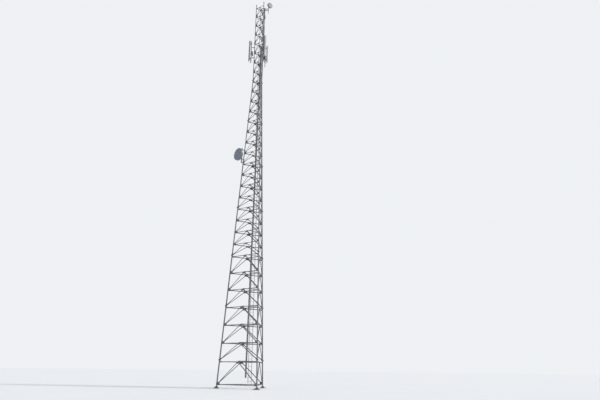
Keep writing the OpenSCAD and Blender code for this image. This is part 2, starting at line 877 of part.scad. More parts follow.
module panel(leg) {
    h = panel_h[leg];
    on_pole(leg, panel_top_z - h)
        rotate([0, 0, panel_heading[leg] - leg_angle[leg]]) {
            translate([panel_standoff, 0, 0])
                panel_body(h);
            for (z = [0.12 * h, 0.88 * h])
                translate([0, 0, z])
                    panel_bracket();
        }
}

// Remote radio units on the sides of the poles that look to the mast

radio_w = 300;
radio_d = 120;
radio_h = 400;
radio_rise = 500;
radio_z = arm_z[0] + radio_rise;
radio_gap = 25;
radio_plate_t = 15;
radio_back = pole_d / 2 + radio_gap;

fin_t = 4;
fin_d = 45;
fin_count = 13;

module remote_radio(leg) {
    case_d = radio_d - fin_d;
    pitch = (radio_w - fin_t) / (fin_count - 1);
    on_pole(leg, radio_z) {
        clamp_ring(pole_d, bracket_h);
        translate([-radio_back - bite, -arm_w, -bracket_h / 2])
            cube([radio_plate_t + bite, 2 * arm_w, bracket_h]);
        translate([-radio_back - case_d, -radio_w / 2, -radio_h / 2])
            cube([case_d, radio_w, radio_h]);
        for (i = [1:fin_count - 2])
            translate([-radio_back - radio_d, i * pitch - radio_w / 2, 2 * fin_t - radio_h / 2])
                cube([fin_d + bite, fin_t, radio_h - 4 * fin_t]);
        for (side = [-1:1])
            translate([-radio_back - case_d / 2, side * radio_w / 4, -radio_h / 2 - socket_h])
                cylinder(d = socket_d, h = socket_h + bite, $fn = 24);
    }
}

// Small rod-shaped antenna beside the rear leg

rod_antenna_d = 110;
rod_antenna_h = 400;
rod_antenna_reach = 150;
rod_antenna_heading = 300;
rod_antenna_level = 30;
rod_antenna_rise = 500;
rod_antenna_z = level_z(rod_antenna_level) + rod_antenna_rise;

// Small dish above the rear leg

small_hub = 70;
small_arm_drop = [290, 100];
small_arm_z = [for (drop = small_arm_drop) leg_top_z - drop];
small_pole_z = small_arm_z[1] - small_pole_tail;
small_pole_h = small_dish_z - small_pole_z + 3 * small_hub;
small_dish_out = small_pole_d / 2 + small_dish_bracket + small_dish_bowl + small_dish_rim;

module on_small_pole(z) {
    on_heading(rear, small_pole_heading, z)
        translate([small_pole_reach, 0, 0])
            rotate([0, 0, small_dish_heading - small_pole_heading])
                children();
}

// Colours

steel = "silver";
cover = "gainsboro";
rubber = "dimgray";

// Pieces

module leg_left_lower() {
    color(steel)
        leg_section(left, 0);
}

module leg_left_middle() {
    color(steel)
        leg_section(left, 1);
}

module leg_left_upper() {
    color(steel)
        leg_section(left, 2);
}

module leg_left_top() {
    color(steel)
        leg_section(left, 3);
}

module leg_front_lower() {
    color(steel)
        leg_section(front, 0);
}

module leg_front_middle() {
    color(steel)
        leg_section(front, 1);
}

module leg_front_upper() {
    color(steel)
        leg_section(front, 2);
}

module leg_front_top() {
    color(steel)
        leg_section(front, 3);
}

module leg_rear_lower() {
    color(steel)
        leg_section(rear, 0);
}

module leg_rear_middle() {
    color(steel)
        leg_section(rear, 1);
}

module leg_rear_upper() {
    color(steel)
        leg_section(rear, 2);
}

module leg_rear_top() {
    color(steel)
        leg_section(rear, 3);
}

module bracing_front_lower() {
    color(steel)
        face_section(front_face, 0);
}

module bracing_front_middle() {
    color(steel)
        face_section(front_face, 1);
}

module bracing_front_upper() {
    color(steel)
        face_section(front_face, 2);
}

module bracing_front_top() {
    color(steel)
        face_section(front_face, 3);
}

module bracing_right_lower() {
    color(steel)
        face_section(right_face, 0);
}

module bracing_right_middle() {
    color(steel)
        face_section(right_face, 1);
}

module bracing_right_upper() {
    color(steel)
        face_section(right_face, 2);
}

module bracing_right_top() {
    color(steel)
        face_section(right_face, 3);
}

module bracing_rear_lower() {
    color(steel)
        face_section(rear_face, 0);
}

module bracing_rear_middle() {
    color(steel)
        face_section(rear_face, 1);
}

module bracing_rear_upper() {
    color(steel)
        face_section(rear_face, 2);
}

module bracing_rear_top() {
    color(steel)
        face_section(rear_face, 3);
}

module plan_bracing_lower() {
    color(steel)
        plan_bracing(lower_plan_levels);
}

module plan_bracing_upper() {
    color(steel) {
        plan_bracing(upper_plan_levels);
        ladder_bars();
    }
}

module ladder_lower() {
    color(steel)
        ladder_section(ladder_start_z, joint_z(section_level[1]) - gap);
}

module ladder_middle() {
    color(steel)
        ladder_section(joint_z(section_level[1]), knee_z - gap);
}

module ladder_top() {
    color(steel)
        ladder_section(knee_z, leg_top_z - joint_rise);
}

module cable_ladder() {
    color(steel) {
        cable_ladder_run(feeder_start_z, knee_z + bite);
        cable_ladder_run(knee_z, feeder_end_z);
    }
}

module feeder_cables() {
    color(rubber) {
        feeder_run(feeder_start_z, knee_z + bite);
        feeder_run(knee_z, feeder_end_z);
    }
}

module large_dish() {
    color(cover) {
        on_dish_pole(dish_z)
            translate([dish_out, 0, 0])
                dish_body(dish_d, dish_rim, dish_bowl, dish_hub);
    }
}

module large_dish_cover() {
    color(cover) {
        on_dish_pole(dish_z)
            translate([dish_out, 0, 0])
                dish_cover(dish_d, dish_cover_rise);
    }
}

module large_dish_mount() {
    color(steel) {
        on_dish_pole(dish_z - dish_pole_h / 2)
            pole(dish_pole_d, dish_pole_h);
        on_dish_pole(dish_z)
            hub_bracket(dish_hub, dish_pole_d / 2 + dish_bracket - gap, dish_pole_d);
        for (z = dish_arm_z)
            dish_arm(z);
    }
}

module small_dish() {
    color(cover) {
        on_small_pole(small_dish_z)
            translate([small_dish_out, 0, 0])
                dish_body(small_dish_d, small_dish_rim, small_dish_bowl, small_hub);
    }
}

module small_dish_cover() {
    color(cover) {
        on_small_pole(small_dish_z)
            translate([small_dish_out, 0, 0])
                dish_cover(small_dish_d, small_dish_cover_rise);
    }
}

module small_dish_mount() {
    color(steel) {
        on_small_pole(small_pole_z)
            pole(small_pole_d, small_pole_h);
        on_small_pole(small_dish_z)
            hub_bracket(small_hub, small_pole_d / 2 + small_dish_bracket - gap, small_pole_d);
        for (z = small_arm_z)
            pole_arm(rear, small_pole_heading, z, small_pole_reach, small_pole_d);
    }
}

module pole_mount_left() {
    color(steel)
        pole_mount(left);
}

module pole_mount_front() {
    color(steel)
        pole_mount(front);
}

module pole_mount_rear() {
    color(steel)
        pole_mount(rear);
}

module panel_left() {
    color(cover)
        panel(left);
}

module panel_front() {
    color(cover)
        panel(front);
}

module panel_rear() {
    color(cover)
        panel(rear);
}

module remote_radios() {
    color(cover) {
        for (leg = [left, front, rear])
            remote_radio(leg);
    }
}

module small_antenna() {
    ring_r = top_leg_d / 2 + clamp_wall / 2;
    color(cover) {
        on_leg(rear, rod_antenna_z)
            clamp_ring(top_leg_d, arm_w);
        on_heading(rear, rod_antenna_heading, rod_antenna_z) {
            translate([ring_r, -arm_w / 4, -arm_w / 4])
                cube([rod_antenna_reach - ring_r, arm_w / 2, arm_w / 2]);
            translate([rod_antenna_reach, 0, -rod_antenna_h])
                cylinder(d = rod_antenna_d, h = rod_antenna_h, $fn = round_fn);
            translate([rod_antenna_reach, 0, -rod_antenna_h - socket_h])
                cylinder(d = 2 * socket_d, h = socket_h + bite, $fn = round_fn);
            translate([rod_antenna_reach, 0, 0])
                sphere(d = rod_antenna_d, $fn = round_fn);
        }
    }
}

leg_left_lower();
leg_left_middle();
leg_left_upper();
leg_left_top();
leg_front_lower();
leg_front_middle();
leg_front_upper();
leg_front_top();
leg_rear_lower();
leg_rear_middle();
leg_rear_upper();
leg_rear_top();
bracing_front_lower();
bracing_front_middle();
bracing_front_upper();
bracing_front_top();
bracing_right_lower();
bracing_right_middle();
bracing_right_upper();
bracing_right_top();
bracing_rear_lower();
bracing_rear_middle();
bracing_rear_upper();
bracing_rear_top();
plan_bracing_lower();
plan_bracing_upper();
ladder_lower();
ladder_middle();
ladder_top();
cable_ladder();
feeder_cables();
large_dish();
large_dish_cover();
large_dish_mount();
small_dish();
small_dish_cover();
small_dish_mount();
pole_mount_left();
pole_mount_front();
pole_mount_rear();
panel_left();
panel_front();
panel_rear();
remote_radios();
small_antenna();
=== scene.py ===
import json
import math
import random

import bpy
from mathutils import Matrix, Vector


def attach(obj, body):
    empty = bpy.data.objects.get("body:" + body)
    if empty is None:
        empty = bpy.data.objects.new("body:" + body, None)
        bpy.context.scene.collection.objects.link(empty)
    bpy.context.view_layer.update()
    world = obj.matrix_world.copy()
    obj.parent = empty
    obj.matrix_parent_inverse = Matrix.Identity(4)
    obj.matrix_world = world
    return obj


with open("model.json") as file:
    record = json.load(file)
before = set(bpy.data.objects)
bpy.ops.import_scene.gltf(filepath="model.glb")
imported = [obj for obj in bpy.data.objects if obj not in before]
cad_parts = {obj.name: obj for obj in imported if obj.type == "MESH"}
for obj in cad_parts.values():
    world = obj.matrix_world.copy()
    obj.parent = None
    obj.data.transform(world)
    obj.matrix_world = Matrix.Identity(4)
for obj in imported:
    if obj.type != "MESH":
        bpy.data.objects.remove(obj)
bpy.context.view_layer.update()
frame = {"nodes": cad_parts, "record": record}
rng = random.Random(11)

# ---------------------------------------------------------------- the mast's sizes, in metres

# Running clearance between pieces that touch
GAP = 0.0003

# Levels count from the base ring. SECTION has the levels at which each section of the mast
# starts, and the last level. The legs' flanges stand above the levels in JOINTS
BASE_RING_Z, FIRST_LEVEL_Z, LOWER_BAY, UPPER_BAY = 0.305, 2.11, 1.5, 1.125
SECTION = (0, 7, 15, 23, 31)
LAST = SECTION[4]
JOINTS = (1, 4, 7, 11, 15, 19, 23, 27)

# Legs, at ground level and above the knee, with their headings from the mast's axis
BASE_R, TOP_R, LEG_OVERRUN = 2.42, 0.56, 0.4
LEG_D = (0.1143, 0.1016, 0.0889, 0.0761)
LEG_ANGLE = {"left": 180, "front": 300, "rear": 60}
FLANGE_REACH, FLANGE_T, JOINT_RISE = 0.055, 0.020, 0.165
BASE_PLATE_T, ANCHOR_CIRCLE_R = 0.030, 0.170

# Bracing. The gusset's reach below and above a level and its lap are shares of the bar's width
FACE_ANGLE = {"front": 240, "right": 0, "rear": 120}
FACE_LEGS = {"front": ("left", "front"), "right": ("front", "rear"), "rear": ("rear", "left")}
BRACE_W = (0.060, 0.055, 0.050, 0.045)
BRACE_T, GUSSET_T, BITE, BAR_END_GAP, FOOT_CLEARANCE = 0.006, 0.008, 0.001, 0.005, 0.015
GUSSET_LOW, GUSSET_HIGH, GUSSET_LAP = 0.9, 0.8, 2.2

# Plan bracing
PLAN_W, PLAN_INSET, PLAN_SHIFT, PLAN_PLATE_T, PLAN_BAR_T = 0.050, 0.060, 0.025, 0.008, 0.005
PLAN_LEVELS = (1, 2, 3, 4, 5, 6, 7, 9, 11, 13, 15)

# Climbing ladder
LADDER_LEVELS = PLAN_LEVELS + (17, 19, 21, 23, 25, 27, 29, 31)
LADDER_W, LADDER_START, LADDER_OFFSET, LADDER_STANDOFF = 0.36, 0.42, 0.03, 0.03
STILE_D, STILE_T, RUNG_PITCH, RUNG_D = 0.05, 0.008, 0.3, 0.02

# Cable ladder and feeders
CABLE_RAIL_D, CABLE_RUNG_PITCH, CABLE_OFFSET = 0.03, 0.75, 0.52
FEEDER_COUNT, FEEDER_D, FEEDER_PITCH = 5, 0.022, 0.027
FEEDER_START, FEEDER_DROP = 0.9, 0.5

# Clamps and poles of the antennas
CLAMP_H, CLAMP_WALL, BRACKET_H, BRACKET_PLATE_T = 0.07, 0.02, 0.08, 0.012
POLE_D, POLE_OVER, FIRST_ARM, ARM_PITCH = 0.0761, 0.05, 0.585, 1.225
POLE_H = {"left": 2.58, "front": 3.81, "rear": 2.58}
POLE_REACH = {"left": 0.34, "front": 0.40, "rear": 0.40}

# Sector antennas and radio units
PANEL_HEADING = {"left": 206, "front": 325, "rear": 355}
PANEL_H = {"left": 2.33, "front": 2.33, "rear": 1.91}
PANEL_LEVEL, PANEL_RISE, PANEL_STANDOFF = 27, 0.32, 0.145
SOCKET_X, SOCKET_PITCH, SOCKET_H = 0.048, 0.052, 0.030
RADIO_GAP, RADIO_RISE, RADIO_HALF_H, RADIO_HALF_D, PLUG_PITCH = 0.025, 0.5, 0.2, 0.0375, 0.075

# Dishes: pole, round hub plate, its distance from the pole, depths of bowl and rim, radius, number
# of clips and bolts' diameter
LARGE_DISH = {"pole_d": 0.1143, "hub": 0.130, "bracket": 0.055, "bowl": 0.19, "rim": 0.18,
              "dish_r": 0.6, "clips": 16, "bolt": 0.014}
SMALL_DISH = {"pole_d": 0.0603, "hub": 0.070, "bracket": 0.050, "bowl": 0.09, "rim": 0.15,
              "dish_r": 0.3, "clips": 8, "bolt": 0.010}
DISH_LEVEL, DISH_RISE, DISH_HEADING, DISH_POLE_REACH = 15, 0.83, 227, 0.275
LOW_DISH_ARM_RISE, HIGH_DISH_ARM_RISE = 0.325, 0.335
SMALL_RISE, SMALL_HEADING, SMALL_POLE_HEADING, SMALL_POLE_REACH = 0.17, -47, -10, 0.4
SMALL_ARM_DROPS = (0.29, 0.10)
ROD_LEVEL, ROD_RISE, ROD_HEADING, ROD_CLAMP_H = 30, 0.5, 300, 0.05

UP = Vector((0, 0, 1))
SIN60, COS30 = math.sin(math.radians(60)), math.cos(math.radians(30))
# Angles of eight bolts round a circle
EIGHTHS = [math.radians(22.5 + 45 * k) for k in range(8)]


def level_z(i):
    if i == 0:
        return BASE_RING_Z
    lower = min(i, SECTION[1]) - 1
    return FIRST_LEVEL_Z + LOWER_BAY * lower + UPPER_BAY * max(0, i - SECTION[1])


def joint_z(i):
    return level_z(i) + JOINT_RISE


def foot_z(i):
    """Height of the diagonals' feet above a level."""
    return joint_z(i) if i in JOINTS else level_z(i)


KNEE_Z = joint_z(SECTION[3])
LEG_TOP_Z = level_z(LAST) + LEG_OVERRUN
SPREAD = BASE_R - TOP_R
LEG_LEAN = math.atan(SPREAD / KNEE_Z)
PLAN_LEAN = math.atan(SPREAD / 4 / KNEE_Z)
CABLE_LEAN = math.atan(CABLE_OFFSET / KNEE_Z)
PANEL_TOP = level_z(PANEL_LEVEL) + PANEL_RISE
FEEDER_END = PANEL_TOP - FEEDER_DROP
POLE_FOOT = PANEL_TOP + POLE_OVER - POLE_H["left"]
ARM_Z = [POLE_FOOT + FIRST_ARM + ARM_PITCH * k for k in range(3)]
RADIO_Z = ARM_Z[0] + RADIO_RISE
RADIO_BACK = POLE_D / 2 + RADIO_GAP


def radius_at(z):
    return BASE_R - SPREAD * z / KNEE_Z if z < KNEE_Z else TOP_R


def half_side_at(z):
    return radius_at(z) * SIN60


def section_of(i):
    """Section that a level belongs to: a joint's level counts to the one below."""
    return sum(i > end for end in SECTION[1:4])


def section_above(i):
    return sum(i >= end for end in SECTION[1:4])


def bar_start(w):
    """Distance along the face from a leg's axis to the ends of the bars there."""
    return (w + GUSSET_T) / math.tan(math.radians(30)) + BAR_END_GAP


def face_lean(z, z1):
    return math.atan((radius_at(z) - radius_at(z1)) / 2 / (z1 - z))


def move(x, y, z):
    return Matrix.Translation((x, y, z))


def turn(axis, angle):
    return Matrix.Rotation(angle, 4, axis)


OUT, BACK = turn("Y", math.pi / 2), turn("Y", -math.pi / 2)


def on_axis(degrees):
    """The mast's axis at the ground, with local x in a heading."""
    return move(BASE_R, 0, 0) @ turn("Z", math.radians(degrees))


def on_leg(leg, z):
    """A leg's axis, leaning with it."""
    lean = LEG_LEAN if z < KNEE_Z else 0.0
    return on_axis(LEG_ANGLE[leg]) @ move(radius_at(z), 0, z) @ turn("Y", -lean)


def on_heading(leg, heading, z):
    """A leg's axis, upright, with local x in a heading."""
    return (on_axis(LEG_ANGLE[leg]) @ move(radius_at(z), 0, z)
            @ turn("Z", math.radians(heading - LEG_ANGLE[leg])))


def on_face(face, z, z1):
    """The middle of a face at z, leaning as the bay up to z1 does."""
    return (on_axis(FACE_ANGLE[face]) @ move(radius_at(z) / 2, 0, z)
            @ turn("Y", -face_lean(z, z1)))


def on_pole(leg, z):
    return on_axis(LEG_ANGLE[leg]) @ move(TOP_R + POLE_REACH[leg], 0, z)


# ---------------------------------------------------------------- mesh kit

# How far a box's end faces are set in, as a share of its chamfer, and the steps of a weld bead
END_INSET, BEAD_STEP = 0.7, 0.012


class Mesh:
    """Collects faces for one piece."""

    def __init__(self):
        self.v, self.f, self.smooth = [], [], []

    def add(self, place, verts, faces, smooth=False):
        base = len(self.v)
        self.v.extend((place @ Vector(p))[:] for p in verts)
        self.f.extend(tuple(base + i for i in face) for face in faces)
        self.smooth.extend([smooth] * len(faces))

    def rings(self, place, loops, closed=True, smooth=False):
        """Skins loops of equal length, and closes both ends if closed."""
        n = len(loops[0])
        verts = [p for loop in loops for p in loop]
        sides = [(k * n + i, k * n + (i + 1) % n, (k + 1) * n + (i + 1) % n, (k + 1) * n + i)
                 for k in range(len(loops) - 1) for i in range(n)]
        self.add(place, verts, sides, smooth)
        if closed:
            self.add(place, loops[0], [tuple(range(n - 1, -1, -1))])
            self.add(place, loops[-1], [tuple(range(n))])

    def lathe(self, place, profile, n, smooth=False, phase=0.0):
        """Turns (radius, height) pairs about local z."""
        angles = [phase + math.tau * i / n for i in range(n)]
        loops = [[(r * math.cos(a), r * math.sin(a), h) for a in angles] for r, h in profile]
        self.rings(place, loops, smooth=smooth)

    def block(self, place, lo, hi, edge):
        """A box whose upright and level edges are all chamfered."""
        def loop(inset, z):
            x0, y0, x1, y1 = lo[0] + inset, lo[1] + inset, hi[0] - inset, hi[1] - inset
            c = edge - inset
            return [(x0 + c, y0, z), (x1 - c, y0, z), (x1, y0 + c, z), (x1, y1 - c, z),
                    (x1 - c, y1, z), (x0 + c, y1, z), (x0, y1 - c, z), (x0, y0 + c, z)]
        end = edge * END_INSET
        self.rings(place, [loop(end, lo[2]), loop(0, lo[2] + edge),
                           loop(0, hi[2] - edge), loop(end, hi[2])])

    def hoop(self, place, r, thick, n, m):
        """A ring of round section about local z, with n steps round it and m round its section."""
        section = [math.tau * j / m for j in range(m)]
        loops = []
        for i in range(n):
            a = math.tau * i / n
            loops.append([((r + thick * math.cos(b)) * math.cos(a),
                           (r + thick * math.cos(b)) * math.sin(a),
                           thick * math.sin(b)) for b in section])
        self.rings(place, loops + loops[:1], closed=False, smooth=True)

    def rod(self, a, b, r, n, place):
        """A straight round bar between two points."""
        a, b = Vector(a), Vector(b)
        way = (b - a).to_track_quat("Z", "Y").to_matrix().to_4x4()
        ends = [(r, 0), (r, (b - a).length)]
        self.lathe(place @ Matrix.Translation(a) @ way, ends, n, smooth=True)

    def tube(self, points, r, n=8, place=Matrix()):
        """A round bar along a line of points, its ends closed."""
        pts = [Vector(p) for p in points]
        loops = []
        side = None
        for i, p in enumerate(pts):
            way = (pts[min(i + 1, len(pts) - 1)] - pts[max(i - 1, 0)]).normalized()
            if side is None:
                side = way.orthogonal().normalized()
            side = (side - way * side.dot(way)).normalized()
            other = way.cross(side)
            loops.append([tuple(p + r * (math.cos(t) * side + math.sin(t) * other))
                          for t in (math.tau * j / n for j in range(n))])
        self.rings(place, loops, smooth=True)

    def make(self, name, material, slot):
        data = bpy.data.meshes.new(name)
        data.from_pydata(self.v, [], self.f)
        data.polygons.foreach_set("use_smooth", self.smooth)
        data.validate()
        data.update()
        piece = bpy.data.objects.new(name, data)
        bpy.context.scene.collection.objects.link(piece)
        data.materials.append(material)
        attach(piece, "root")


# Fasteners, as shares of the bolt's diameter
FLATS, WASHER_R, WASHER_T, HEAD_H, NUT_H, STUD_SHOULDER = 1.5, 1.0, 0.15, 0.65, 0.8, 0.5
THREAD_H, THREAD_TIP, THREAD_TIP_R = 0.35, 0.1, 0.4
# Shoulders as shares of the height, the chamfered corner as a share of the whole one, and the
# thread's depth in the nut in metres
HEAD_SHOULDER, NUT_SHOULDER, CHAMFER, THREAD_BITE = 0.78, 0.8, 0.86, 0.0005


def hexagon(mesh, place, d, shoulder, height, phase):
    """A washer with a hexagon on it, chamfered above its shoulder."""
    corner = FLATS * d / COS30 / 2
    mesh.lathe(place, [(WASHER_R * d, 0), (WASHER_R * d, WASHER_T * d)], 12)
    mesh.lathe(place @ move(0, 0, WASHER_T * d),
               [(corner, 0), (corner, shoulder), (corner * CHAMFER, height)], 6, phase=phase)


def hex_bolt(mesh, place, d, grip):
    """A bolt along local z: washer and head above z = 0, washer, nut and thread below -grip."""
    phase = rng.uniform(0, math.tau)
    head, nut = HEAD_H * d, NUT_H * d
    hexagon(mesh, place, d, head * HEAD_SHOULDER, head, phase)
    under = place @ move(0, 0, -grip) @ turn("X", math.pi)
    hexagon(mesh, under, d, nut * NUT_SHOULDER, nut, -phase)
    thread = [(d / 2, 0), (d / 2, d * THREAD_H), (d * THREAD_TIP_R, d * (THREAD_H + THREAD_TIP))]
    mesh.lathe(under @ move(0, 0, WASHER_T * d + nut - THREAD_BITE), thread, 8)


def stud(mesh, place, d):
    """A washer and a hexagon head alone, along local z."""
    hexagon(mesh, place, d, STUD_SHOULDER * d, HEAD_H * d, rng.uniform(0, 1))


def bead(mesh, place, a, b, r=0.003):
    """A short straight weld bead."""
    a, b = Vector(a), Vector(b)
    steps = max(2, int((b - a).length / BEAD_STEP))
    mesh.tube([a.lerp(b, k / steps) for k in range(steps + 1)], r, 6, place)


def eased(points, steps=6):
    """A smooth line through the given points."""
    p = [Vector(q) for q in points]
    p = [2 * p[0] - p[1]] + p + [2 * p[-1] - p[-2]]
    line = []
    for a, b, c, d in zip(p, p[1:], p[2:], p[3:]):
        for k in range(steps):
            t = k / steps
            line.append(0.5 * (2 * b + (c - a) * t + (2 * a - 5 * b + 4 * c - d) * t * t
                               + (3 * b - a - 3 * c + d) * t * t * t))
    return line + [p[-2]]


# ---------------------------------------------------------------- materials

STEEL_DUST, SHELL_DUST, CABLE_DUST = (0.33, 0.29, 0.24), (0.42, 0.37, 0.31), (0.16, 0.14, 0.12)
RUST = (0.16, 0.075, 0.035)


class Nodes:
    """Short calls for a material's node tree."""

    def __init__(self, name):
        self.mat = bpy.data.materials.new(name)
        self.mat.use_nodes = True
        self.tree = self.mat.node_tree
        self.tree.nodes.clear()
        surface = self.tree.nodes.new("ShaderNodeOutputMaterial")
        self.bsdf = self.tree.nodes.new("ShaderNodeBsdfPrincipled")
        self.link(self.bsdf.outputs[0], surface.inputs[0])
        self.coords = self.tree.nodes.new("ShaderNodeTexCoord").outputs["Object"]

    def link(self, a, b):
        self.tree.links.new(a, b)

    def set(self, name, value):
        self.bsdf.inputs[name].default_value = value

    def stretched(self, scale):
        node = self.tree.nodes.new("ShaderNodeMapping")
        node.inputs["Scale"].default_value = scale
        self.link(self.coords, node.inputs["Vector"])
        return node.outputs[0]

    def noise(self, scale, detail=3.0, rough=0.55, vector=None):
        node = self.tree.nodes.new("ShaderNodeTexNoise")
        node.inputs["Scale"].default_value = scale
        node.inputs["Detail"].default_value = detail
        node.inputs["Roughness"].default_value = rough
        self.link(vector or self.coords, node.inputs["Vector"])
        return node.outputs["Fac"]

    def cells(self, scale):
        node = self.tree.nodes.new("ShaderNodeTexVoronoi")
        node.inputs["Scale"].default_value = scale
        self.link(self.coords, node.inputs["Vector"])
        spread = self.tree.nodes.new("ShaderNodeSeparateColor")
        self.link(node.outputs["Color"], spread.inputs[0])
        return spread.outputs[0]

    def band(self, value, low, high, out_low=0.0, out_high=1.0):
        node = self.tree.nodes.new("ShaderNodeMapRange")
        for key, number in (("From Min", low), ("From Max", high),
                            ("To Min", out_low), ("To Max", out_high)):
            node.inputs[key].default_value = number
        self.link(value, node.inputs["Value"])
        return node.outputs[0]

    def math(self, kind, a, b):
        node = self.tree.nodes.new("ShaderNodeMath")
        node.operation = kind
        for socket, value in zip(node.inputs, (a, b)):
            if isinstance(value, (int, float)):
                socket.default_value = value
            else:
                self.link(value, socket)
        return node.outputs[0]

    def mix(self, fac, a, b):
        node = self.tree.nodes.new("ShaderNodeMix")
        node.data_type = "RGBA"
        node.clamp_factor = True
        for socket, value in ((node.inputs[0], fac), (node.inputs[6], a), (node.inputs[7], b)):
            if isinstance(value, tuple):
                socket.default_value = (*value, 1)
            else:
                self.link(value, socket)
        return node.outputs[2]

    def upward(self):
        node = self.tree.nodes.new("ShaderNodeNewGeometry")
        parts = self.tree.nodes.new("ShaderNodeSeparateXYZ")
        self.link(node.outputs["Normal"], parts.inputs[0])
        return parts.outputs["Z"]

    def bump(self, value, strength, distance, soften=0.0):
        """Fine relief. With soften, facets and edges up to that radius also shade as round."""
        node = self.tree.nodes.new("ShaderNodeBump")
        if soften:
            rounded = self.tree.nodes.new("ShaderNodeBevel")
            rounded.samples = 6
            rounded.inputs["Radius"].default_value = soften
            self.link(rounded.outputs[0], node.inputs["Normal"])
        node.inputs["Strength"].default_value = strength
        node.inputs["Distance"].default_value = distance
        self.link(value, node.inputs["Height"])
        self.link(node.outputs[0], self.bsdf.inputs["Normal"])


def galvanised(name, light, dark, stain, metal, rust):
    """Weathered zinc: spangle, pale patches, darker runs down the steel, dust, specks of rust."""
    n = Nodes(name)
    spangle = n.band(n.cells(70.0), 0.0, 1.0)
    patches = n.band(n.noise(1.3, 4.0, 0.6), 0.35, 0.68)
    runs = n.band(n.noise(9.0, 3.0, 0.6, n.stretched((1.0, 1.0, 0.07))), 0.42, 0.72)
    colour = n.mix(n.math("MULTIPLY", spangle, 0.28), light, dark)
    colour = n.mix(n.math("MULTIPLY", patches, 0.55), colour, dark)
    colour = n.mix(n.math("MULTIPLY", runs, stain), colour, tuple(0.55 * c for c in dark))
    ledges = n.band(n.upward(), 0.75, 1.0)
    dust = n.math("MULTIPLY", ledges, n.band(n.noise(14.0, 3.0), 0.35, 0.6))
    colour = n.mix(n.math("MULTIPLY", dust, 0.5), colour, STEEL_DUST)
    specks = n.band(n.noise(26.0, 5.0, 0.7), 0.60, 0.70)
    spots = n.math("MULTIPLY", specks, n.band(n.noise(2.1, 2.0), 0.5, 0.62))
    colour = n.mix(n.math("MULTIPLY", spots, rust), colour, RUST)
    n.link(colour, n.bsdf.inputs["Base Color"])
    rough = n.math("ADD", n.math("MULTIPLY", spangle, 0.14), n.math("MULTIPLY", patches, 0.12))
    n.link(n.math("ADD", rough, 0.42), n.bsdf.inputs["Roughness"])
    n.set("Metallic", metal)
    grain = n.math("ADD", n.noise(240.0, 2.0), n.math("MULTIPLY", spangle, 0.4))
    n.bump(grain, 0.25, 0.0015)
    return n.mat


def shell(name, light, dark, rough, metal=0.0, soften=0.0):
    """Moulded or coated grey: chalked patches, faint rain runs, fine grain and dust."""
    n = Nodes(name)
    patches = n.band(n.noise(2.2, 4.0, 0.6), 0.35, 0.7)
    runs = n.band(n.noise(22.0, 3.0, 0.6, n.stretched((1.0, 1.0, 0.05))), 0.45, 0.75)
    colour = n.mix(n.math("MULTIPLY", patches, 0.6), light, dark)
    colour = n.mix(n.math("MULTIPLY", runs, 0.35), colour, tuple(0.72 * c for c in dark))
    ledges = n.band(n.upward(), 0.5, 1.0)
    dust = n.math("MULTIPLY", ledges, n.band(n.noise(18.0, 3.0), 0.3, 0.6))
    colour = n.mix(n.math("MULTIPLY", dust, 0.45), colour, SHELL_DUST)
    n.link(colour, n.bsdf.inputs["Base Color"])
    n.link(n.band(patches, 0.0, 1.0, rough - 0.06, rough + 0.14), n.bsdf.inputs["Roughness"])
    n.set("Metallic", metal)
    n.bump(n.noise(420.0, 2.0), 0.12, 0.0008, soften)
    return n.mat


def jacket(name):
    """Grey cable jacket, chalked by the sun in patches and dusty."""
    n = Nodes(name)
    patches = n.band(n.noise(5.0, 4.0, 0.6), 0.35, 0.7)
    colour = n.mix(patches, (0.31, 0.315, 0.325), (0.39, 0.395, 0.405))
    dust = n.math("MULTIPLY", n.band(n.noise(30.0, 3.0), 0.4, 0.7), 0.25)
    colour = n.mix(dust, colour, CABLE_DUST)
    n.link(colour, n.bsdf.inputs["Base Color"])
    n.link(n.band(patches, 0.0, 1.0, 0.38, 0.6), n.bsdf.inputs["Roughness"])
    n.bump(n.noise(300.0, 2.0), 0.15, 0.0006)
    return n.mat


# Name, light tone, dark tone, share of rain runs, share of metal, share of rust in its specks
LEG = galvanised("galvanised_leg", (0.235, 0.241, 0.253), (0.140, 0.146, 0.158), 0.35, 0.5, 0.35)
ANGLE = galvanised("galvanised_angle", (0.210, 0.216, 0.228), (0.122, 0.128, 0.140),
                   0.4, 0.5, 0.5)
FITTING = galvanised("galvanised_fitting", (0.225, 0.231, 0.243), (0.140, 0.146, 0.158),
                     0.3, 0.5, 0.2)
LADDER = galvanised("galvanised_ladder", (0.135, 0.141, 0.153), (0.075, 0.081, 0.093),
                    0.3, 0.45, 0.35)
BOLT = galvanised("zinc_bolt", (0.34, 0.346, 0.358), (0.200, 0.206, 0.218), 0.2, 0.6, 0.9)
WELD = galvanised("zinc_weld", (0.28, 0.286, 0.298), (0.165, 0.171, 0.183), 0.3, 0.45, 0.6)
# Name, light tone, dark tone, roughness, share of metal, radius that shades as round
ANTENNA = shell("antenna_shell", (0.285, 0.30, 0.33), (0.21, 0.225, 0.25), 0.42, 0.0, 0.014)
BACKING = shell("antenna_backing", (0.21, 0.22, 0.24), (0.15, 0.16, 0.18), 0.4, 0.4)
DISH = shell("dish_shell", (0.20, 0.23, 0.275), (0.15, 0.175, 0.21), 0.42, 0.05)
COVER = shell("dish_cover", (0.215, 0.245, 0.29), (0.165, 0.19, 0.225), 0.55)
RADIO = shell("radio_case", (0.25, 0.26, 0.28), (0.19, 0.20, 0.22), 0.4, 0.1)
CABLE = jacket("cable_jacket")

SLOT_MATERIAL = {"galvanised_leg": LEG, "galvanised_angle": ANGLE, "galvanised_fitting": FITTING,
                 "antenna_shell": ANTENNA, "dish_shell": DISH, "dish_cover": COVER,
                 "radio_case": RADIO, "cable_jacket": CABLE}

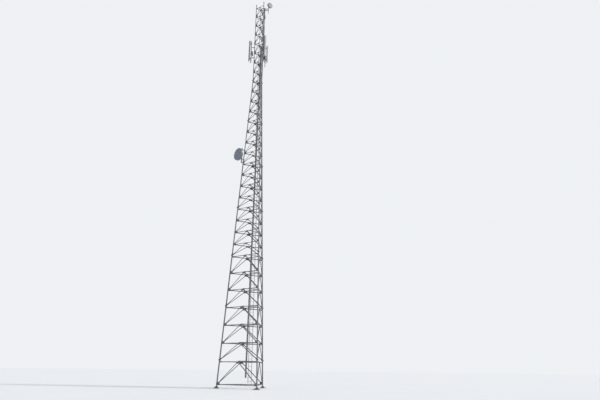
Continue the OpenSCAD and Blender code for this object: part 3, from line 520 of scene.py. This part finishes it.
for part in frame["record"]["subparts"]:
    node = frame["nodes"][part["node"]]
    node.data.materials.clear()
    ladder = part["node"].startswith("ladder_")
    node.data.materials.append(LADDER if ladder else SLOT_MATERIAL[part["material_slot"]])

# ---------------------------------------------------------------- joints of the legs

FLANGE_BOLT_D, FLANGE_BOLT_SHARE = 0.020, 0.56
# Weld beads lie a little outside the tube and off the plate that they join it to
BEAD_OUT, FLANGE_BEAD, BASE_BEAD, CAP_BEAD = 0.001, 0.005, 0.007, 0.004
FLANGE_BEAD_RISE, BASE_BEAD_RISE, CAP_BEAD_DROP = 0.003, 0.003, 0.002
ANCHOR_D, ANCHOR_LENGTH, ANCHOR_TIP, ANCHOR_TIP_R, ANCHOR_SUNK = 0.027, 0.101, 0.003, 0.011, 0.028
ANCHOR_FLATS, ANCHOR_WASHER_R, ANCHOR_WASHER_T = 0.041, 0.030, 0.005
# The nut's outline, as shares of its corner's radius and heights, and the seats of nut and locknut
ANCHOR_NUT = ((0.88, 0), (1, 0.003), (1, 0.018), (0.88, 0.022))
ANCHOR_NUT_SEATS = (0.005, 0.0275)


def anchor(mesh, place):
    """An anchor bolt's end with washer, nut and locknut, along local z."""
    mesh.lathe(place, [(ANCHOR_WASHER_R, 0), (ANCHOR_WASHER_R, ANCHOR_WASHER_T)], 16)
    corner = ANCHOR_FLATS / COS30 / 2
    for seat in ANCHOR_NUT_SEATS:
        mesh.lathe(place @ move(0, 0, seat), [(corner * share, h) for share, h in ANCHOR_NUT], 6,
                   phase=rng.uniform(0, 1))
    mesh.lathe(place @ move(0, 0, -ANCHOR_SUNK),
               [(ANCHOR_D / 2, 0), (ANCHOR_D / 2, ANCHOR_LENGTH - ANCHOR_TIP),
                (ANCHOR_TIP_R, ANCHOR_LENGTH)], 12)


for leg in LEG_ANGLE:
    bolts, welds = Mesh(), Mesh()
    for level in JOINTS:
        z = joint_z(level)
        below, above = LEG_D[section_of(level)], LEG_D[section_above(level)]
        upright = on_axis(LEG_ANGLE[leg]) @ move(radius_at(z), 0, z)
        pitch_r = below / 2 + FLANGE_REACH * FLANGE_BOLT_SHARE
        for a in EIGHTHS:
            spot = upright @ move(pitch_r * math.cos(a), pitch_r * math.sin(a), FLANGE_T)
            hex_bolt(bolts, spot, FLANGE_BOLT_D, 2 * FLANGE_T)
        for up, d in ((1, above), (-1, below)):
            seam = on_leg(leg, z) @ move(0, 0, up * (FLANGE_T + FLANGE_BEAD_RISE))
            welds.hoop(seam, d / 2 + BEAD_OUT, FLANGE_BEAD, 24, 6)
    foot = on_axis(LEG_ANGLE[leg]) @ move(BASE_R, 0, 0)
    for a in EIGHTHS:
        anchor(bolts, foot @ move(ANCHOR_CIRCLE_R * math.cos(a), ANCHOR_CIRCLE_R * math.sin(a),
                                  BASE_PLATE_T))
    welds.hoop(on_leg(leg, BASE_PLATE_T + BASE_BEAD_RISE), LEG_D[0] / 2 + BEAD_OUT, BASE_BEAD,
               28, 6)
    welds.hoop(on_axis(LEG_ANGLE[leg]) @ move(TOP_R, 0, LEG_TOP_Z - CAP_BEAD_DROP),
               LEG_D[3] / 2 + BEAD_OUT, CAP_BEAD, 24, 6)
    bolts.make("leg_bolts_" + leg, BOLT, "galvanised_fitting")
    welds.make("leg_welds_" + leg, WELD, "galvanised_leg")

# ---------------------------------------------------------------- joints of the bracing

# Bolts' diameters for bars wider than WIDE_BAR and for the others
WIDE_BAR, WIDE_BAR_BOLT, NARROW_BAR_BOLT = 0.052, 0.016, 0.014
# Their distances from a bar's end, the chevron's tip and the horizontal's middle, and below the
# bar's axis, as shares of its width
END_BOLTS, TIP_BOLTS, MIDDLE_BOLT, BOLT_DROP = (0.6, 1.5), (1.6, 2.5), 0.9, 0.1
GUSSET_BEAD, GUSSET_BEAD_END, GUSSET_BEAD_STEPS = 0.004, 0.004, 5
GUSSET_BEAD_OFF_LEG, GUSSET_BEAD_OFF_PLATE = 0.002, 0.001
# What a bolt grips: gusset and bar, less the bar's bite into the gusset
GRIP = GUSSET_T + BRACE_T - BITE


def bar_bolt(w):
    return WIDE_BAR_BOLT if w > WIDE_BAR else NARROW_BAR_BOLT


def level_bolts(mesh, face, i):
    """Bolts at the ends and the middle of a level's horizontal."""
    z, w = level_z(i), BRACE_W[section_of(i)]
    level = on_axis(FACE_ANGLE[face]) @ move(radius_at(z) / 2, 0, z)
    for side in (-1, 1):
        for share in END_BOLTS:
            along = side * (half_side_at(z) - bar_start(w) - share * w)
            hex_bolt(mesh, level @ move(GUSSET_T / 2, along, -BOLT_DROP * w) @ OUT, bar_bolt(w),
                     GRIP)
        if i:
            hex_bolt(mesh, level @ move(GUSSET_T / 2, side * MIDDLE_BOLT * w, -BOLT_DROP * w) @ OUT,
                     bar_bolt(w), GRIP)


def diagonal_bolts(mesh, face, i):
    """Bolts at both ends of the two diagonals above a level."""
    z, z1, w = foot_z(i), level_z(i + 1), BRACE_W[section_above(i)]
    plane = on_face(face, z, z1)
    half = half_side_at(z)
    rise = (z1 - z) / math.cos(face_lean(z, z1))
    slope, run = math.atan2(rise, half), math.hypot(rise, half)
    start = bar_start(w) * run / half
    spots = [start + share * w for share in END_BOLTS] + [run - share * w for share in TIP_BOLTS]
    for side in (-1, 1):
        for dist in spots:
            along = side * (half - dist * math.cos(slope))
            hex_bolt(mesh, plane @ move(GUSSET_T / 2, along, dist * math.sin(slope)) @ OUT,
                     bar_bolt(w), GRIP)


def gusset_seams(i):
    """Level, leg's radius, and lower and upper end of each seam of the gussets at a level."""
    seams = []
    if i in JOINTS or i == LAST:
        w = BRACE_W[section_of(i)]
        seams.append((level_z(i), LEG_D[section_of(i)] / 2, -GUSSET_LOW * w, GUSSET_HIGH * w))
    if i < LAST:
        z, w = foot_z(i), BRACE_W[section_above(i)]
        slope = math.atan2(level_z(i + 1) - z, half_side_at(z))
        low = FLANGE_T + FOOT_CLEARANCE if i in JOINTS else -GUSSET_LOW * w
        high = (bar_start(w) / math.cos(slope) + GUSSET_LAP * w) * math.sin(slope)
        seams.append((z, LEG_D[section_above(i)] / 2, low, high))
    return seams


def gusset_welds(mesh, face, leg, z, r, low, high):
    """Beads on both sides of a gusset, up along the leg."""
    leg_a, face_a = math.radians(LEG_ANGLE[leg]), math.radians(FACE_ANGLE[face])
    normal = Vector((math.cos(face_a), math.sin(face_a), 0))
    outward = Vector((math.cos(leg_a), math.sin(leg_a), 0))
    inward = (-outward + normal * outward.dot(normal)).normalized()
    ends = []
    for h in (low + GUSSET_BEAD_END, high - GUSSET_BEAD_END):
        centre = Vector((BASE_R, 0, z + h)) + outward * radius_at(z + h)
        ends.append(centre + inward * (r + GUSSET_BEAD_OFF_LEG))
    for way in (-1, 1):
        a, b = (p + normal * way * (GUSSET_T / 2 + GUSSET_BEAD_OFF_PLATE) for p in ends)
        mesh.tube([a.lerp(b, k / GUSSET_BEAD_STEPS) for k in range(GUSSET_BEAD_STEPS + 1)],
                  GUSSET_BEAD, 6)


for face in FACE_ANGLE:
    bolts, welds = Mesh(), Mesh()
    for i in range(LAST + 1):
        level_bolts(bolts, face, i)
        if i < LAST:
            diagonal_bolts(bolts, face, i)
        for seam in gusset_seams(i):
            for leg in FACE_LEGS[face]:
                gusset_welds(welds, face, leg, *seam)
    bolts.make("bracing_bolts_" + face, BOLT, "galvanised_fitting")
    welds.make("gusset_welds_" + face, WELD, "galvanised_angle")

# ---------------------------------------------------------------- plan bracing and ladder

# Bolts at the ends of the plan bars, and those of their plates on the horizontals
BAR_BOLT_D, BAR_BOLT_OUT, BAR_BOLT_FROM_END = 0.014, 0.005, 0.035
PLATE_BOLT_D, PLATE_BOLT_IN, PLATE_BOLTS_ALONG = 0.012, 0.028, (0.028, 0.095)
PLATE_GRIP = PLAN_PLATE_T + GAP + BRACE_T
# Weld beads of the rungs and of the cleats that hold the ladder, and plates over its splices
RUNG_BEAD, RUNG_BEAD_IN = 0.0028, 0.0005
CLEAT_BEAD_Y, CLEAT_BEAD_IN = 0.0033, 0.001
SPLICE_HALF_W, SPLICE_HALF_H, SPLICE_T, SPLICE_GAP, SPLICE_EDGE = 0.019, 0.14, 0.006, 0.0002, 0.002
SPLICE_BOLTS, SPLICE_BOLT_D = (-0.105, -0.045, 0.045, 0.105), 0.010
# A splice leans with the ladder's lower section, so its place is taken from just below the joint
JUST_BELOW = 0.001


def plan_z(i):
    return level_z(i) + BRACE_W[section_of(i)] / 2 + GAP


def plan_bar_r(z):
    return (radius_at(z) / 2 - PLAN_INSET) / 2 + PLAN_SHIFT * SIN60


def plan_bar_half(z):
    return (radius_at(z) / 2 - PLAN_INSET) * SIN60 - PLAN_SHIFT / 2


def plan_lean(z):
    return PLAN_LEAN if z < KNEE_Z else 0.0


def ladder_r(z):
    return plan_bar_r(z) - PLAN_W / 2 - GAP - LADDER_STANDOFF - STILE_D / 2


def on_ladder(z):
    return (on_axis(LEG_ANGLE["rear"]) @ move(ladder_r(z), -LADDER_OFFSET, z)
            @ turn("Y", -plan_lean(z)))


bolts = Mesh()
for leg in LEG_ANGLE:
    for i in LADDER_LEVELS if leg == "rear" else PLAN_LEVELS:
        z = level_z(i)
        bar_top = plan_z(i) + PLAN_PLATE_T + PLAN_BAR_T
        for side in (-1, 1):
            hex_bolt(bolts, on_axis(LEG_ANGLE[leg])
                     @ move(plan_bar_r(z) + BAR_BOLT_OUT,
                            side * (plan_bar_half(z) - BAR_BOLT_FROM_END), bar_top),
                     BAR_BOLT_D, PLAN_PLATE_T + PLAN_BAR_T)
            for along in PLATE_BOLTS_ALONG:
                hex_bolt(bolts, on_axis(LEG_ANGLE[leg] + side * 60)
                         @ move(radius_at(z) / 2 - PLATE_BOLT_IN, -side * along,
                                plan_z(i) + PLAN_PLATE_T), PLATE_BOLT_D, PLATE_GRIP)
bolts.make("plan_bolts", BOLT, "galvanised_fitting")

bolts, welds = Mesh(), Mesh()
inside = LADDER_W / 2 - STILE_T
LADDER_SPLICES = (joint_z(SECTION[1]), KNEE_Z)
LADDER_ENDS = (LADDER_START, *LADDER_SPLICES, LEG_TOP_Z - JOINT_RISE)
for z0, z1 in zip(LADDER_ENDS, LADDER_ENDS[1:]):
    place = on_ladder(z0)
    length = (z1 - z0) / math.cos(plan_lean(z0))
    for k in range(int((length - RUNG_D - RUNG_PITCH / 2) / RUNG_PITCH) + 1):
        for side in (-1, 1):
            end = place @ move(0, side * (inside + RUNG_BEAD_IN), RUNG_PITCH * (k + 0.5))
            welds.hoop(end @ turn("X", math.pi / 2), RUNG_D / 2, RUNG_BEAD, 10, 5)
for i in LADDER_LEVELS:
    z = plan_z(i) + PLAN_W / 2
    cleat = on_axis(LEG_ANGLE["rear"]) @ move(ladder_r(z), -LADDER_OFFSET, z)
    for side in (-1, 1):
        for face_y in (-CLEAT_BEAD_Y, CLEAT_BEAD_Y):
            y = side * (LADDER_W - STILE_T) / 2 + face_y
            for x in (STILE_D / 2 + CLEAT_BEAD_IN, STILE_D / 2 + LADDER_STANDOFF - CLEAT_BEAD_IN):
                bead(welds, cleat, (x, y, -PLAN_W / 4), (x, y, PLAN_W / 4))
for z in LADDER_SPLICES:
    place = on_ladder(z - JUST_BELOW)
    near = LADDER_W / 2 + SPLICE_GAP
    for side in (-1, 1):
        y = sorted((side * near, side * (near + SPLICE_T)))
        bolts.block(place, (-SPLICE_HALF_W, y[0], -SPLICE_HALF_H),
                    (SPLICE_HALF_W, y[1], SPLICE_HALF_H), SPLICE_EDGE)
        for h in SPLICE_BOLTS:
            hex_bolt(bolts, place @ move(0, side * (near + SPLICE_T), h)
                     @ turn("X", -side * math.pi / 2), SPLICE_BOLT_D,
                     SPLICE_GAP + SPLICE_T + STILE_T)
bolts.make("ladder_splices", LADDER, "galvanised_fitting")
welds.make("ladder_welds", LADDER, "galvanised_fitting")

# ---------------------------------------------------------------- cable ladder and feeders

# A flat strap over the feeders at each rung, with studs beside them and a rod at each end
STRAP_HALF_W, STRAP_HALF_H, STRAP_OUT, STRAP_EDGE = 0.071, 0.012, 0.004, 0.0012
STRAP_STUD_D, HANGER_R, HANGER_ROOT, HANGER_OUT = 0.006, 0.003, 0.001, 0.002
STRAP_STUDS = [FEEDER_PITCH * (k - FEEDER_COUNT / 2) for k in range(FEEDER_COUNT + 1)]
# Connectors on the feeders' ends: (radius, height) of sleeve and nut
SLEEVE = ((0.0122, -0.045), (0.0128, -0.040), (0.0128, 0.030), (0.0108, 0.036))
SLEEVE_NUT = ((0.0105, 0), (0.0105, 0.012), (0.0125, 0.014), (0.0125, 0.030), (0.0112, 0.032))
SLEEVE_NUT_AT = 0.034


def on_cable_ladder(z):
    r = plan_bar_r(z) + PLAN_W / 2 + GAP + PLAN_W * math.tan(PLAN_LEAN) + CABLE_RAIL_D / 2
    below = z < KNEE_Z
    along = CABLE_OFFSET * (1 - z / KNEE_Z) if below else 0.0
    return (on_axis(LEG_ANGLE["rear"]) @ move(r, along, z) @ turn("Y", -plan_lean(z))
            @ turn("X", CABLE_LEAN if below else 0.0))


straps, ends = Mesh(), Mesh()
for z0, z1 in ((FEEDER_START, KNEE_Z), (KNEE_Z, FEEDER_END)):
    place = on_cable_ladder(z0)
    lean = CABLE_LEAN if z0 < KNEE_Z else 0.0
    length = (z1 - z0) / math.cos(plan_lean(z0)) / math.cos(lean)
    h = CABLE_RUNG_PITCH / 2
    while h < length - CABLE_RAIL_D:
        rung = h + CABLE_RAIL_D / 2
        straps.block(place, (FEEDER_D + GAP, -STRAP_HALF_W, rung - STRAP_HALF_H),
                     (FEEDER_D + STRAP_OUT, STRAP_HALF_W, rung + STRAP_HALF_H), STRAP_EDGE)
        for y in STRAP_STUDS:
            stud(straps, place @ move(FEEDER_D + STRAP_OUT, y, rung) @ OUT, STRAP_STUD_D)
        for y in (STRAP_STUDS[0], STRAP_STUDS[-1]):
            straps.rod((-HANGER_ROOT, y, rung), (FEEDER_D + HANGER_OUT, y, rung), HANGER_R, 8,
                       place)
        h += CABLE_RUNG_PITCH
for i in range(FEEDER_COUNT):
    y = (i - (FEEDER_COUNT - 1) / 2) * FEEDER_PITCH
    for z, way in ((FEEDER_START, math.pi), (FEEDER_END, 0.0)):
        end = on_cable_ladder(z) @ move(FEEDER_D / 2 + GAP, y, 0) @ turn("X", way)
        ends.lathe(end, SLEEVE, 16, smooth=True)
        ends.lathe(end @ move(0, 0, SLEEVE_NUT_AT), SLEEVE_NUT, 12)
straps.make("cable_straps", FITTING, "galvanised_fitting")
ends.make("feeder_connectors", RADIO, "cable_jacket")

# ---------------------------------------------------------------- dishes

# Ears of a split clamp: near and far face, root in the ring, reach in bolt diameters, and half
# height and bolts' height as shares of the clamp's height
EAR_NEAR, EAR_FAR, EAR_ROOT, EAR_REACH, EAR_EDGE = 0.003, 0.014, 0.004, 2.6, 0.0015
EAR_HALF_H, EAR_BOLTS = 0.42, 0.22
# Bolts of the hub as shares of its radius, and clips over the rim of the dish's cover
SADDLE_SHARE, HUB_BOLTS_SHARE, SADDLE_BOLT_IN = 0.35, 0.82, 0.006
CLIP_BACK, CLIP_FRONT, CLIP_HALF_W, CLIP_IN, CLIP_OVER = 0.019, 0.0065, 0.016, 0.012, 0.003
CLIP_EDGE, CLIP_STUD_D, CLIP_STUD_IN = 0.0015, 0.006, 0.005
LARGE_ARM_BOLT, SMALL_ARM_BOLT, ROD_CLAMP_BOLT = 0.014, 0.012, 0.010


def ears(mesh, place, r, height, d):
    """Bolted ears on both sides of a split clamp ring about local z."""
    for side in (-1, 1):
        for x0, x1 in ((-EAR_FAR, -EAR_NEAR), (EAR_NEAR, EAR_FAR)):
            y = sorted((side * (r - EAR_ROOT), side * (r + EAR_REACH * d)))
            mesh.block(place, (x0, y[0], -EAR_HALF_H * height), (x1, y[1], EAR_HALF_H * height),
                       EAR_EDGE)
        for h in (-EAR_BOLTS * height, EAR_BOLTS * height):
            hex_bolt(mesh, place @ move(EAR_FAR, side * (r + EAR_REACH / 2 * d), h) @ OUT, d,
                     2 * EAR_FAR)


def dish_fittings(mesh, pole, pole_d, hub, bracket, bowl, rim, dish_r, clips, bolt):
    """Bolts of the saddles and the hub plate, and clips round the rim."""
    for up in (-1, 1):
        for side in (-1, 1):
            hex_bolt(mesh, pole @ move(-pole_d / 2 - BRACKET_PLATE_T,
                                       side * (hub / 2 - SADDLE_BOLT_IN), up * SADDLE_SHARE * hub)
                     @ BACK, bolt, pole_d + BRACKET_PLATE_T)
    plate = pole_d / 2 + bracket - GAP - BRACKET_PLATE_T
    circle_r = HUB_BOLTS_SHARE * hub
    for a in EIGHTHS:
        stud(mesh, pole @ move(plate, circle_r * math.cos(a), circle_r * math.sin(a)) @ BACK, bolt)
    mouth = pole_d / 2 + bracket + bowl + rim
    for k in range(clips):
        spot = pole @ move(mouth, 0, 0) @ turn("X", math.tau * (k + 0.5) / clips)
        mesh.block(spot, (-CLIP_BACK, -CLIP_HALF_W, dish_r - CLIP_IN),
                   (CLIP_FRONT, CLIP_HALF_W, dish_r + CLIP_OVER), CLIP_EDGE)
        stud(mesh, spot @ move(CLIP_FRONT, 0, dish_r - CLIP_STUD_IN) @ OUT, CLIP_STUD_D)


fittings = Mesh()
dish_z = level_z(DISH_LEVEL) + DISH_RISE
pole = on_heading("left", DISH_HEADING, dish_z) @ move(DISH_POLE_REACH, 0, 0)
dish_fittings(fittings, pole, **LARGE_DISH)
for z in (joint_z(DISH_LEVEL) + LOW_DISH_ARM_RISE, level_z(DISH_LEVEL + 1) + HIGH_DISH_ARM_RISE):
    ears(fittings, on_leg("left", z) @ turn("Z", math.radians(DISH_HEADING - LEG_ANGLE["left"])),
         LEG_D[2] / 2 + CLAMP_WALL, CLAMP_H, LARGE_ARM_BOLT)
fittings.make("large_dish_fittings", BOLT, "galvanised_fitting")

fittings = Mesh()
turned = turn("Z", math.radians(SMALL_HEADING - SMALL_POLE_HEADING))
pole = on_heading("rear", SMALL_POLE_HEADING, LEG_TOP_Z + SMALL_RISE)
pole = pole @ move(SMALL_POLE_REACH, 0, 0) @ turned
dish_fittings(fittings, pole, **SMALL_DISH)
for drop in SMALL_ARM_DROPS:
    towards = turn("Z", math.radians(SMALL_POLE_HEADING - LEG_ANGLE["rear"]))
    ears(fittings, on_leg("rear", LEG_TOP_Z - drop) @ towards, LEG_D[3] / 2 + CLAMP_WALL, CLAMP_H,
         SMALL_ARM_BOLT)
ears(fittings, on_heading("rear", ROD_HEADING, level_z(ROD_LEVEL) + ROD_RISE),
     LEG_D[3] / 2 + CLAMP_WALL, ROD_CLAMP_H, ROD_CLAMP_BOLT)
fittings.make("small_dish_fittings", BOLT, "galvanised_fitting")

# ---------------------------------------------------------------- sector antennas and radio units

# Arms and poles: beads of an arm on its pole, and caps in the pole's ends
ARM_BOLT, ARM_BEAD, ARM_BEAD_Y, ARM_BEAD_HALF_H, ARM_BEAD_OUT = 0.014, 0.004, 0.026, 0.02, 0.001
CAP_INSET, CAP_SUNK, CAP_T = 0.006, 0.004, 0.0075
# Brackets of an antenna: their heights as shares of its height, and bolts through their cheeks
BRACKET_SHARES, BRACKET_BOLT = (0.12, 0.88), 0.010
CHEEK_X, CHEEK_Y, CHEEK_BOLTS = 0.098, 0.033, (-0.022, 0.022)
# Back plate of an antenna with a lip on each side, end screws and two rows of small screws
BACKING_HALF_W, BACKING_END, BACKING_BACK, BACKING_BITE = 0.106, 0.045, 0.004, 0.0015
BACKING_EDGE = 0.0012
LIP_T, LIP_BACK = 0.006, 0.010
END_SCREW_D, END_SCREW_X, END_SCREW_Y, END_SCREW_IN = 0.005, 0.001, 0.09, 0.015
SCREW_Y, SCREW_IN, SCREW_STEPS = 0.094, 0.08, 8
SCREW = ((0.004, 0), (0.004, 0.001), (0.0025, 0.002))
# Coupling ring of a socket or plug, gland on a radio's top, and boot on a jumper's end
COUPLING = ((0.0140, 0.004), (0.0148, 0.006), (0.0148, 0.016), (0.0140, 0.018))
GLAND, GLAND_Y = ((0.010, 0), (0.010, 0.012), (0.0075, 0.016)), 0.105
BOOT, BOOT_LAP = ((0.0105, 0), (0.0105, 0.022), (0.0085, 0.030), (0.0072, 0.034)), 0.004
# Half of the carrying handle's line, as (side, height above the radio's top)
HANDLE, HANDLE_R = ((-0.06, -0.004), (-0.058, 0.022), (-0.045, 0.032)), 0.005
# Screws in the corners of a radio's case
CASE_SCREW_D, CASE_SCREW_Y, CASE_SCREW_Z, CASE_SCREW_SEAT = 0.006, 0.135, 0.185, 0.0002
# Jumpers: their radius, their run beside the pole, the drops below socket and plug at their ends,
# and shares of the way with drops at both bends
JUMPER_R, RUN_X, RUN_Y, JUMPER_ENDS = 0.0065, -0.046, 0.055, (0.02, 0.05)
LOW_BEND = ((0.12, 0.085), (0.5, 0.115), (0.88, 0.085))
HIGH_BEND = ((0.15, 0.22), (0.5, 0.16), (0.85, 0.10))
RUN_START_DROP, RUN_MIDDLE_RISE, RUN_END_DROP = 0.02, 0.25, 0.30
# Bands that strap a jumper to its pole: round the pole and round the jumper
FIRST_BAND_RISE, LAST_BAND_DROP = 0.12, 0.34
BAND_T, BAND_OFF_POLE, BAND_R = 0.0015, 0.0015, 0.0072


def pole_trim(bolts, trim, leg):
    """Ears and beads of the arms, and the caps of the pole."""
    for z in ARM_Z:
        if z < POLE_FOOT + POLE_H[leg] - CLAMP_H:
            ears(bolts, on_leg(leg, z), LEG_D[3] / 2 + CLAMP_WALL, CLAMP_H, ARM_BOLT)
            for side in (-1, 1):
                x, y = -POLE_D / 2 - ARM_BEAD_OUT, side * ARM_BEAD_Y
                bead(trim, on_pole(leg, z), (x, y, -ARM_BEAD_HALF_H), (x, y, ARM_BEAD_HALF_H),
                     ARM_BEAD)
    for z in (POLE_FOOT, POLE_FOOT + POLE_H[leg]):
        r = POLE_D / 2 - CAP_INSET
        trim.lathe(on_pole(leg, z - CAP_SUNK), [(r, 0), (r, CAP_T)], 24)


def panel_trim(bolts, trim, backing, leg):
    """Brackets' bolts, the back plate with its lips and screws, and the sockets' coupling rings."""
    h = PANEL_H[leg]
    heading = turn("Z", math.radians(PANEL_HEADING[leg] - LEG_ANGLE[leg]))
    panel = on_pole(leg, PANEL_TOP - h) @ heading
    for share in BRACKET_SHARES:
        bracket = panel @ move(0, 0, share * h)
        ears(bolts, bracket, POLE_D / 2 + CLAMP_WALL, BRACKET_H, BRACKET_BOLT)
        for side in (-1, 1):
            for up in CHEEK_BOLTS:
                stud(bolts, bracket @ move(CHEEK_X, side * CHEEK_Y, up)
                     @ turn("X", -side * math.pi / 2), BRACKET_BOLT)
    body = panel @ move(PANEL_STANDOFF, 0, 0)
    backing.block(body, (-BACKING_BACK, -BACKING_HALF_W, BACKING_END),
                  (BACKING_BITE, BACKING_HALF_W, h - BACKING_END), BACKING_EDGE)
    for side in (-1, 1):
        y = sorted((side * BACKING_HALF_W, side * (BACKING_HALF_W + LIP_T)))
        backing.block(body, (-LIP_BACK, y[0], BACKING_END), (BACKING_BITE, y[1], h - BACKING_END),
                      BACKING_EDGE)
        for up in (END_SCREW_IN, h - END_SCREW_IN):
            stud(trim, body @ move(END_SCREW_X, side * END_SCREW_Y, up) @ BACK, END_SCREW_D)
    for k in range(SCREW_STEPS + 1):
        for side in (-1, 1):
            up = SCREW_IN + (h - 2 * SCREW_IN) * k / SCREW_STEPS
            backing.lathe(body @ move(-BACKING_BACK, side * SCREW_Y, up) @ BACK, SCREW, 8)
    sockets = [body @ move(SOCKET_X, side * SOCKET_PITCH, -SOCKET_H)
               for side in (-1.5, -0.5, 0.5, 1.5)]
    for socket in sockets:
        trim.lathe(socket, COUPLING, 6)
    return sockets


def radio_trim(bolts, trim, leg):
    """Clamp, carrying handle, screws, glands and the plugs' coupling rings of a radio unit."""
    radio = on_pole(leg, RADIO_Z)
    ears(bolts, radio, POLE_D / 2 + CLAMP_WALL, BRACKET_H, BRACKET_BOLT)
    top = RADIO_HALF_H
    x = -RADIO_BACK - RADIO_HALF_D
    half = [(x, y, top + h) for y, h in HANDLE]
    other = [(x, -y, z) for x, y, z in reversed(half)]
    trim.tube(eased(half + other), HANDLE_R, 8, radio)
    for side in (-1, 1):
        for up in (-1, 1):
            stud(trim, radio @ move(-RADIO_BACK + CASE_SCREW_SEAT, side * CASE_SCREW_Y,
                                    up * CASE_SCREW_Z) @ OUT, CASE_SCREW_D)
        trim.lathe(radio @ move(x, side * GLAND_Y, top), GLAND, 12)
    plugs = [radio @ move(x, side * PLUG_PITCH, -top - SOCKET_H) for side in (-1, 0, 1)]
    for plug in plugs:
        trim.lathe(plug, COUPLING, 6)
    return plugs


def jumper(cables, leg, socket, plug, side):
    """A cable from an antenna's socket across to the pole, up beside it and into a radio's plug."""
    a, b = socket.translation, plug.translation
    low = PANEL_TOP - PANEL_H[leg] - SOCKET_H
    run = on_pole(leg, 0) @ Vector((RUN_X, side * RUN_Y, 0))
    for end in (socket, plug):
        cables.lathe(end @ turn("X", math.pi) @ move(0, 0, -BOOT_LAP), BOOT, 12, smooth=True)
    line = [a - UP * drop for drop in JUMPER_ENDS]
    for t, drop in LOW_BEND:
        line.append(Vector((*a.xy.lerp(run.xy, t), low - drop)))
    for z in (low - RUN_START_DROP, low + RUN_MIDDLE_RISE, b.z - RUN_END_DROP):
        line.append(Vector((run.x, run.y, z)))
    for t, drop in HIGH_BEND:
        line.append(Vector((*run.xy.lerp(b.xy, t), b.z - drop)))
    line += [b - UP * drop for drop in reversed(JUMPER_ENDS)]
    cables.tube(eased(line, 5), JUMPER_R, 8)
    for z in (low + FIRST_BAND_RISE, (low + b.z) / 2, b.z - LAST_BAND_DROP):
        cables.hoop(on_pole(leg, z), POLE_D / 2 + BAND_OFF_POLE, BAND_T, 20, 4)
        cables.hoop(move(run.x, run.y, z), BAND_R, BAND_T, 12, 4)


for leg in LEG_ANGLE:
    bolts, trim, backing, cables = Mesh(), Mesh(), Mesh(), Mesh()
    pole_trim(bolts, trim, leg)
    sockets = panel_trim(bolts, trim, backing, leg)
    plugs = radio_trim(bolts, trim, leg)
    jumper(cables, leg, sockets[0], plugs[0], -1)
    jumper(cables, leg, sockets[3], plugs[2], 1)
    bolts.make("antenna_bolts_" + leg, BOLT, "galvanised_fitting")
    trim.make("antenna_trim_" + leg, FITTING, "galvanised_fitting")
    backing.make("antenna_backing_" + leg, BACKING, "antenna_shell")
    cables.make("jumper_cables_" + leg, CABLE, "cable_jacket")

# ---------------------------------------------------------------- floor, light and camera

FLOOR_R = 600
SKY_LIGHT, SKY_STRENGTH = (0.78, 0.87, 1.0, 1), 0.55
BACKDROP = (0.86, 0.88, 0.91, 1)
SUN_FROM, SUN_ENERGY, SUN_ANGLE, SUN_COLOUR = (0.82, -0.10, 0.65), 2.6, 8, (1.0, 0.96, 0.90)
# The photo's camera, from the fit: place, focal length and sensor in mm, and angles in degrees
CAMERA_AT, LENS, SENSOR_W = (8.617, -44.47, 1.531), 30.305, 36.0
CAMERA_YAW, CAMERA_PITCH, CAMERA_ROLL = 2.377, 18.596, 0.709

scene = bpy.context.scene


def pale_floor():
    n = Nodes("floor")
    n.set("Roughness", 0.9)
    tone = n.mix(n.band(n.noise(0.15, 2.0), 0.3, 0.7), (0.84, 0.84, 0.84), (0.86, 0.86, 0.86))
    n.link(tone, n.bsdf.inputs["Base Color"])
    return n.mat


bpy.ops.mesh.primitive_circle_add(vertices=96, radius=FLOOR_R, fill_type="NGON",
                                  location=(BASE_R, 0, 0))
floor = bpy.context.object
floor.name = "floor"
floor.data.materials.append(pale_floor())

# Camera, glossy and transmission rays see the pale backdrop, and all others the softer sky
world = bpy.data.worlds.new("studio")
scene.world = world
world.use_nodes = True
tree = world.node_tree
tree.nodes.clear()
surface = tree.nodes.new("ShaderNodeOutputWorld")
soft = tree.nodes.new("ShaderNodeBackground")
soft.inputs["Color"].default_value = SKY_LIGHT
soft.inputs["Strength"].default_value = SKY_STRENGTH
seen = tree.nodes.new("ShaderNodeBackground")
seen.inputs["Color"].default_value = BACKDROP
seen.inputs["Strength"].default_value = 1.0
path = tree.nodes.new("ShaderNodeLightPath")
mix = tree.nodes.new("ShaderNodeMixShader")
seen_by = path.outputs["Is Camera Ray"]
for ray in ("Is Glossy Ray", "Is Transmission Ray"):
    either = tree.nodes.new("ShaderNodeMath")
    either.operation = "MAXIMUM"
    tree.links.new(seen_by, either.inputs[0])
    tree.links.new(path.outputs[ray], either.inputs[1])
    seen_by = either.outputs[0]
tree.links.new(seen_by, mix.inputs[0])
tree.links.new(soft.outputs[0], mix.inputs[1])
tree.links.new(seen.outputs[0], mix.inputs[2])
tree.links.new(mix.outputs[0], surface.inputs[0])

lamp = bpy.data.lights.new("key", "SUN")
lamp.energy = SUN_ENERGY
lamp.angle = math.radians(SUN_ANGLE)
lamp.color = SUN_COLOUR
key = bpy.data.objects.new("key", lamp)
key.rotation_euler = Vector(SUN_FROM).to_track_quat("Z", "Y").to_euler()
scene.collection.objects.link(key)

camera_data = bpy.data.cameras.new("camera")
camera_data.sensor_width = SENSOR_W
camera_data.lens = LENS
camera_data.clip_end = 2000
camera = bpy.data.objects.new("camera", camera_data)
camera.location = CAMERA_AT
yaw, pitch, roll = (math.radians(a) for a in (CAMERA_YAW, CAMERA_PITCH, CAMERA_ROLL))
aim = turn("Z", yaw) @ turn("X", math.pi / 2 + pitch) @ turn("Z", roll)
camera.rotation_euler = aim.to_euler()
scene.collection.objects.link(camera)
scene.camera = camera

scene.view_settings.view_transform = "Standard"
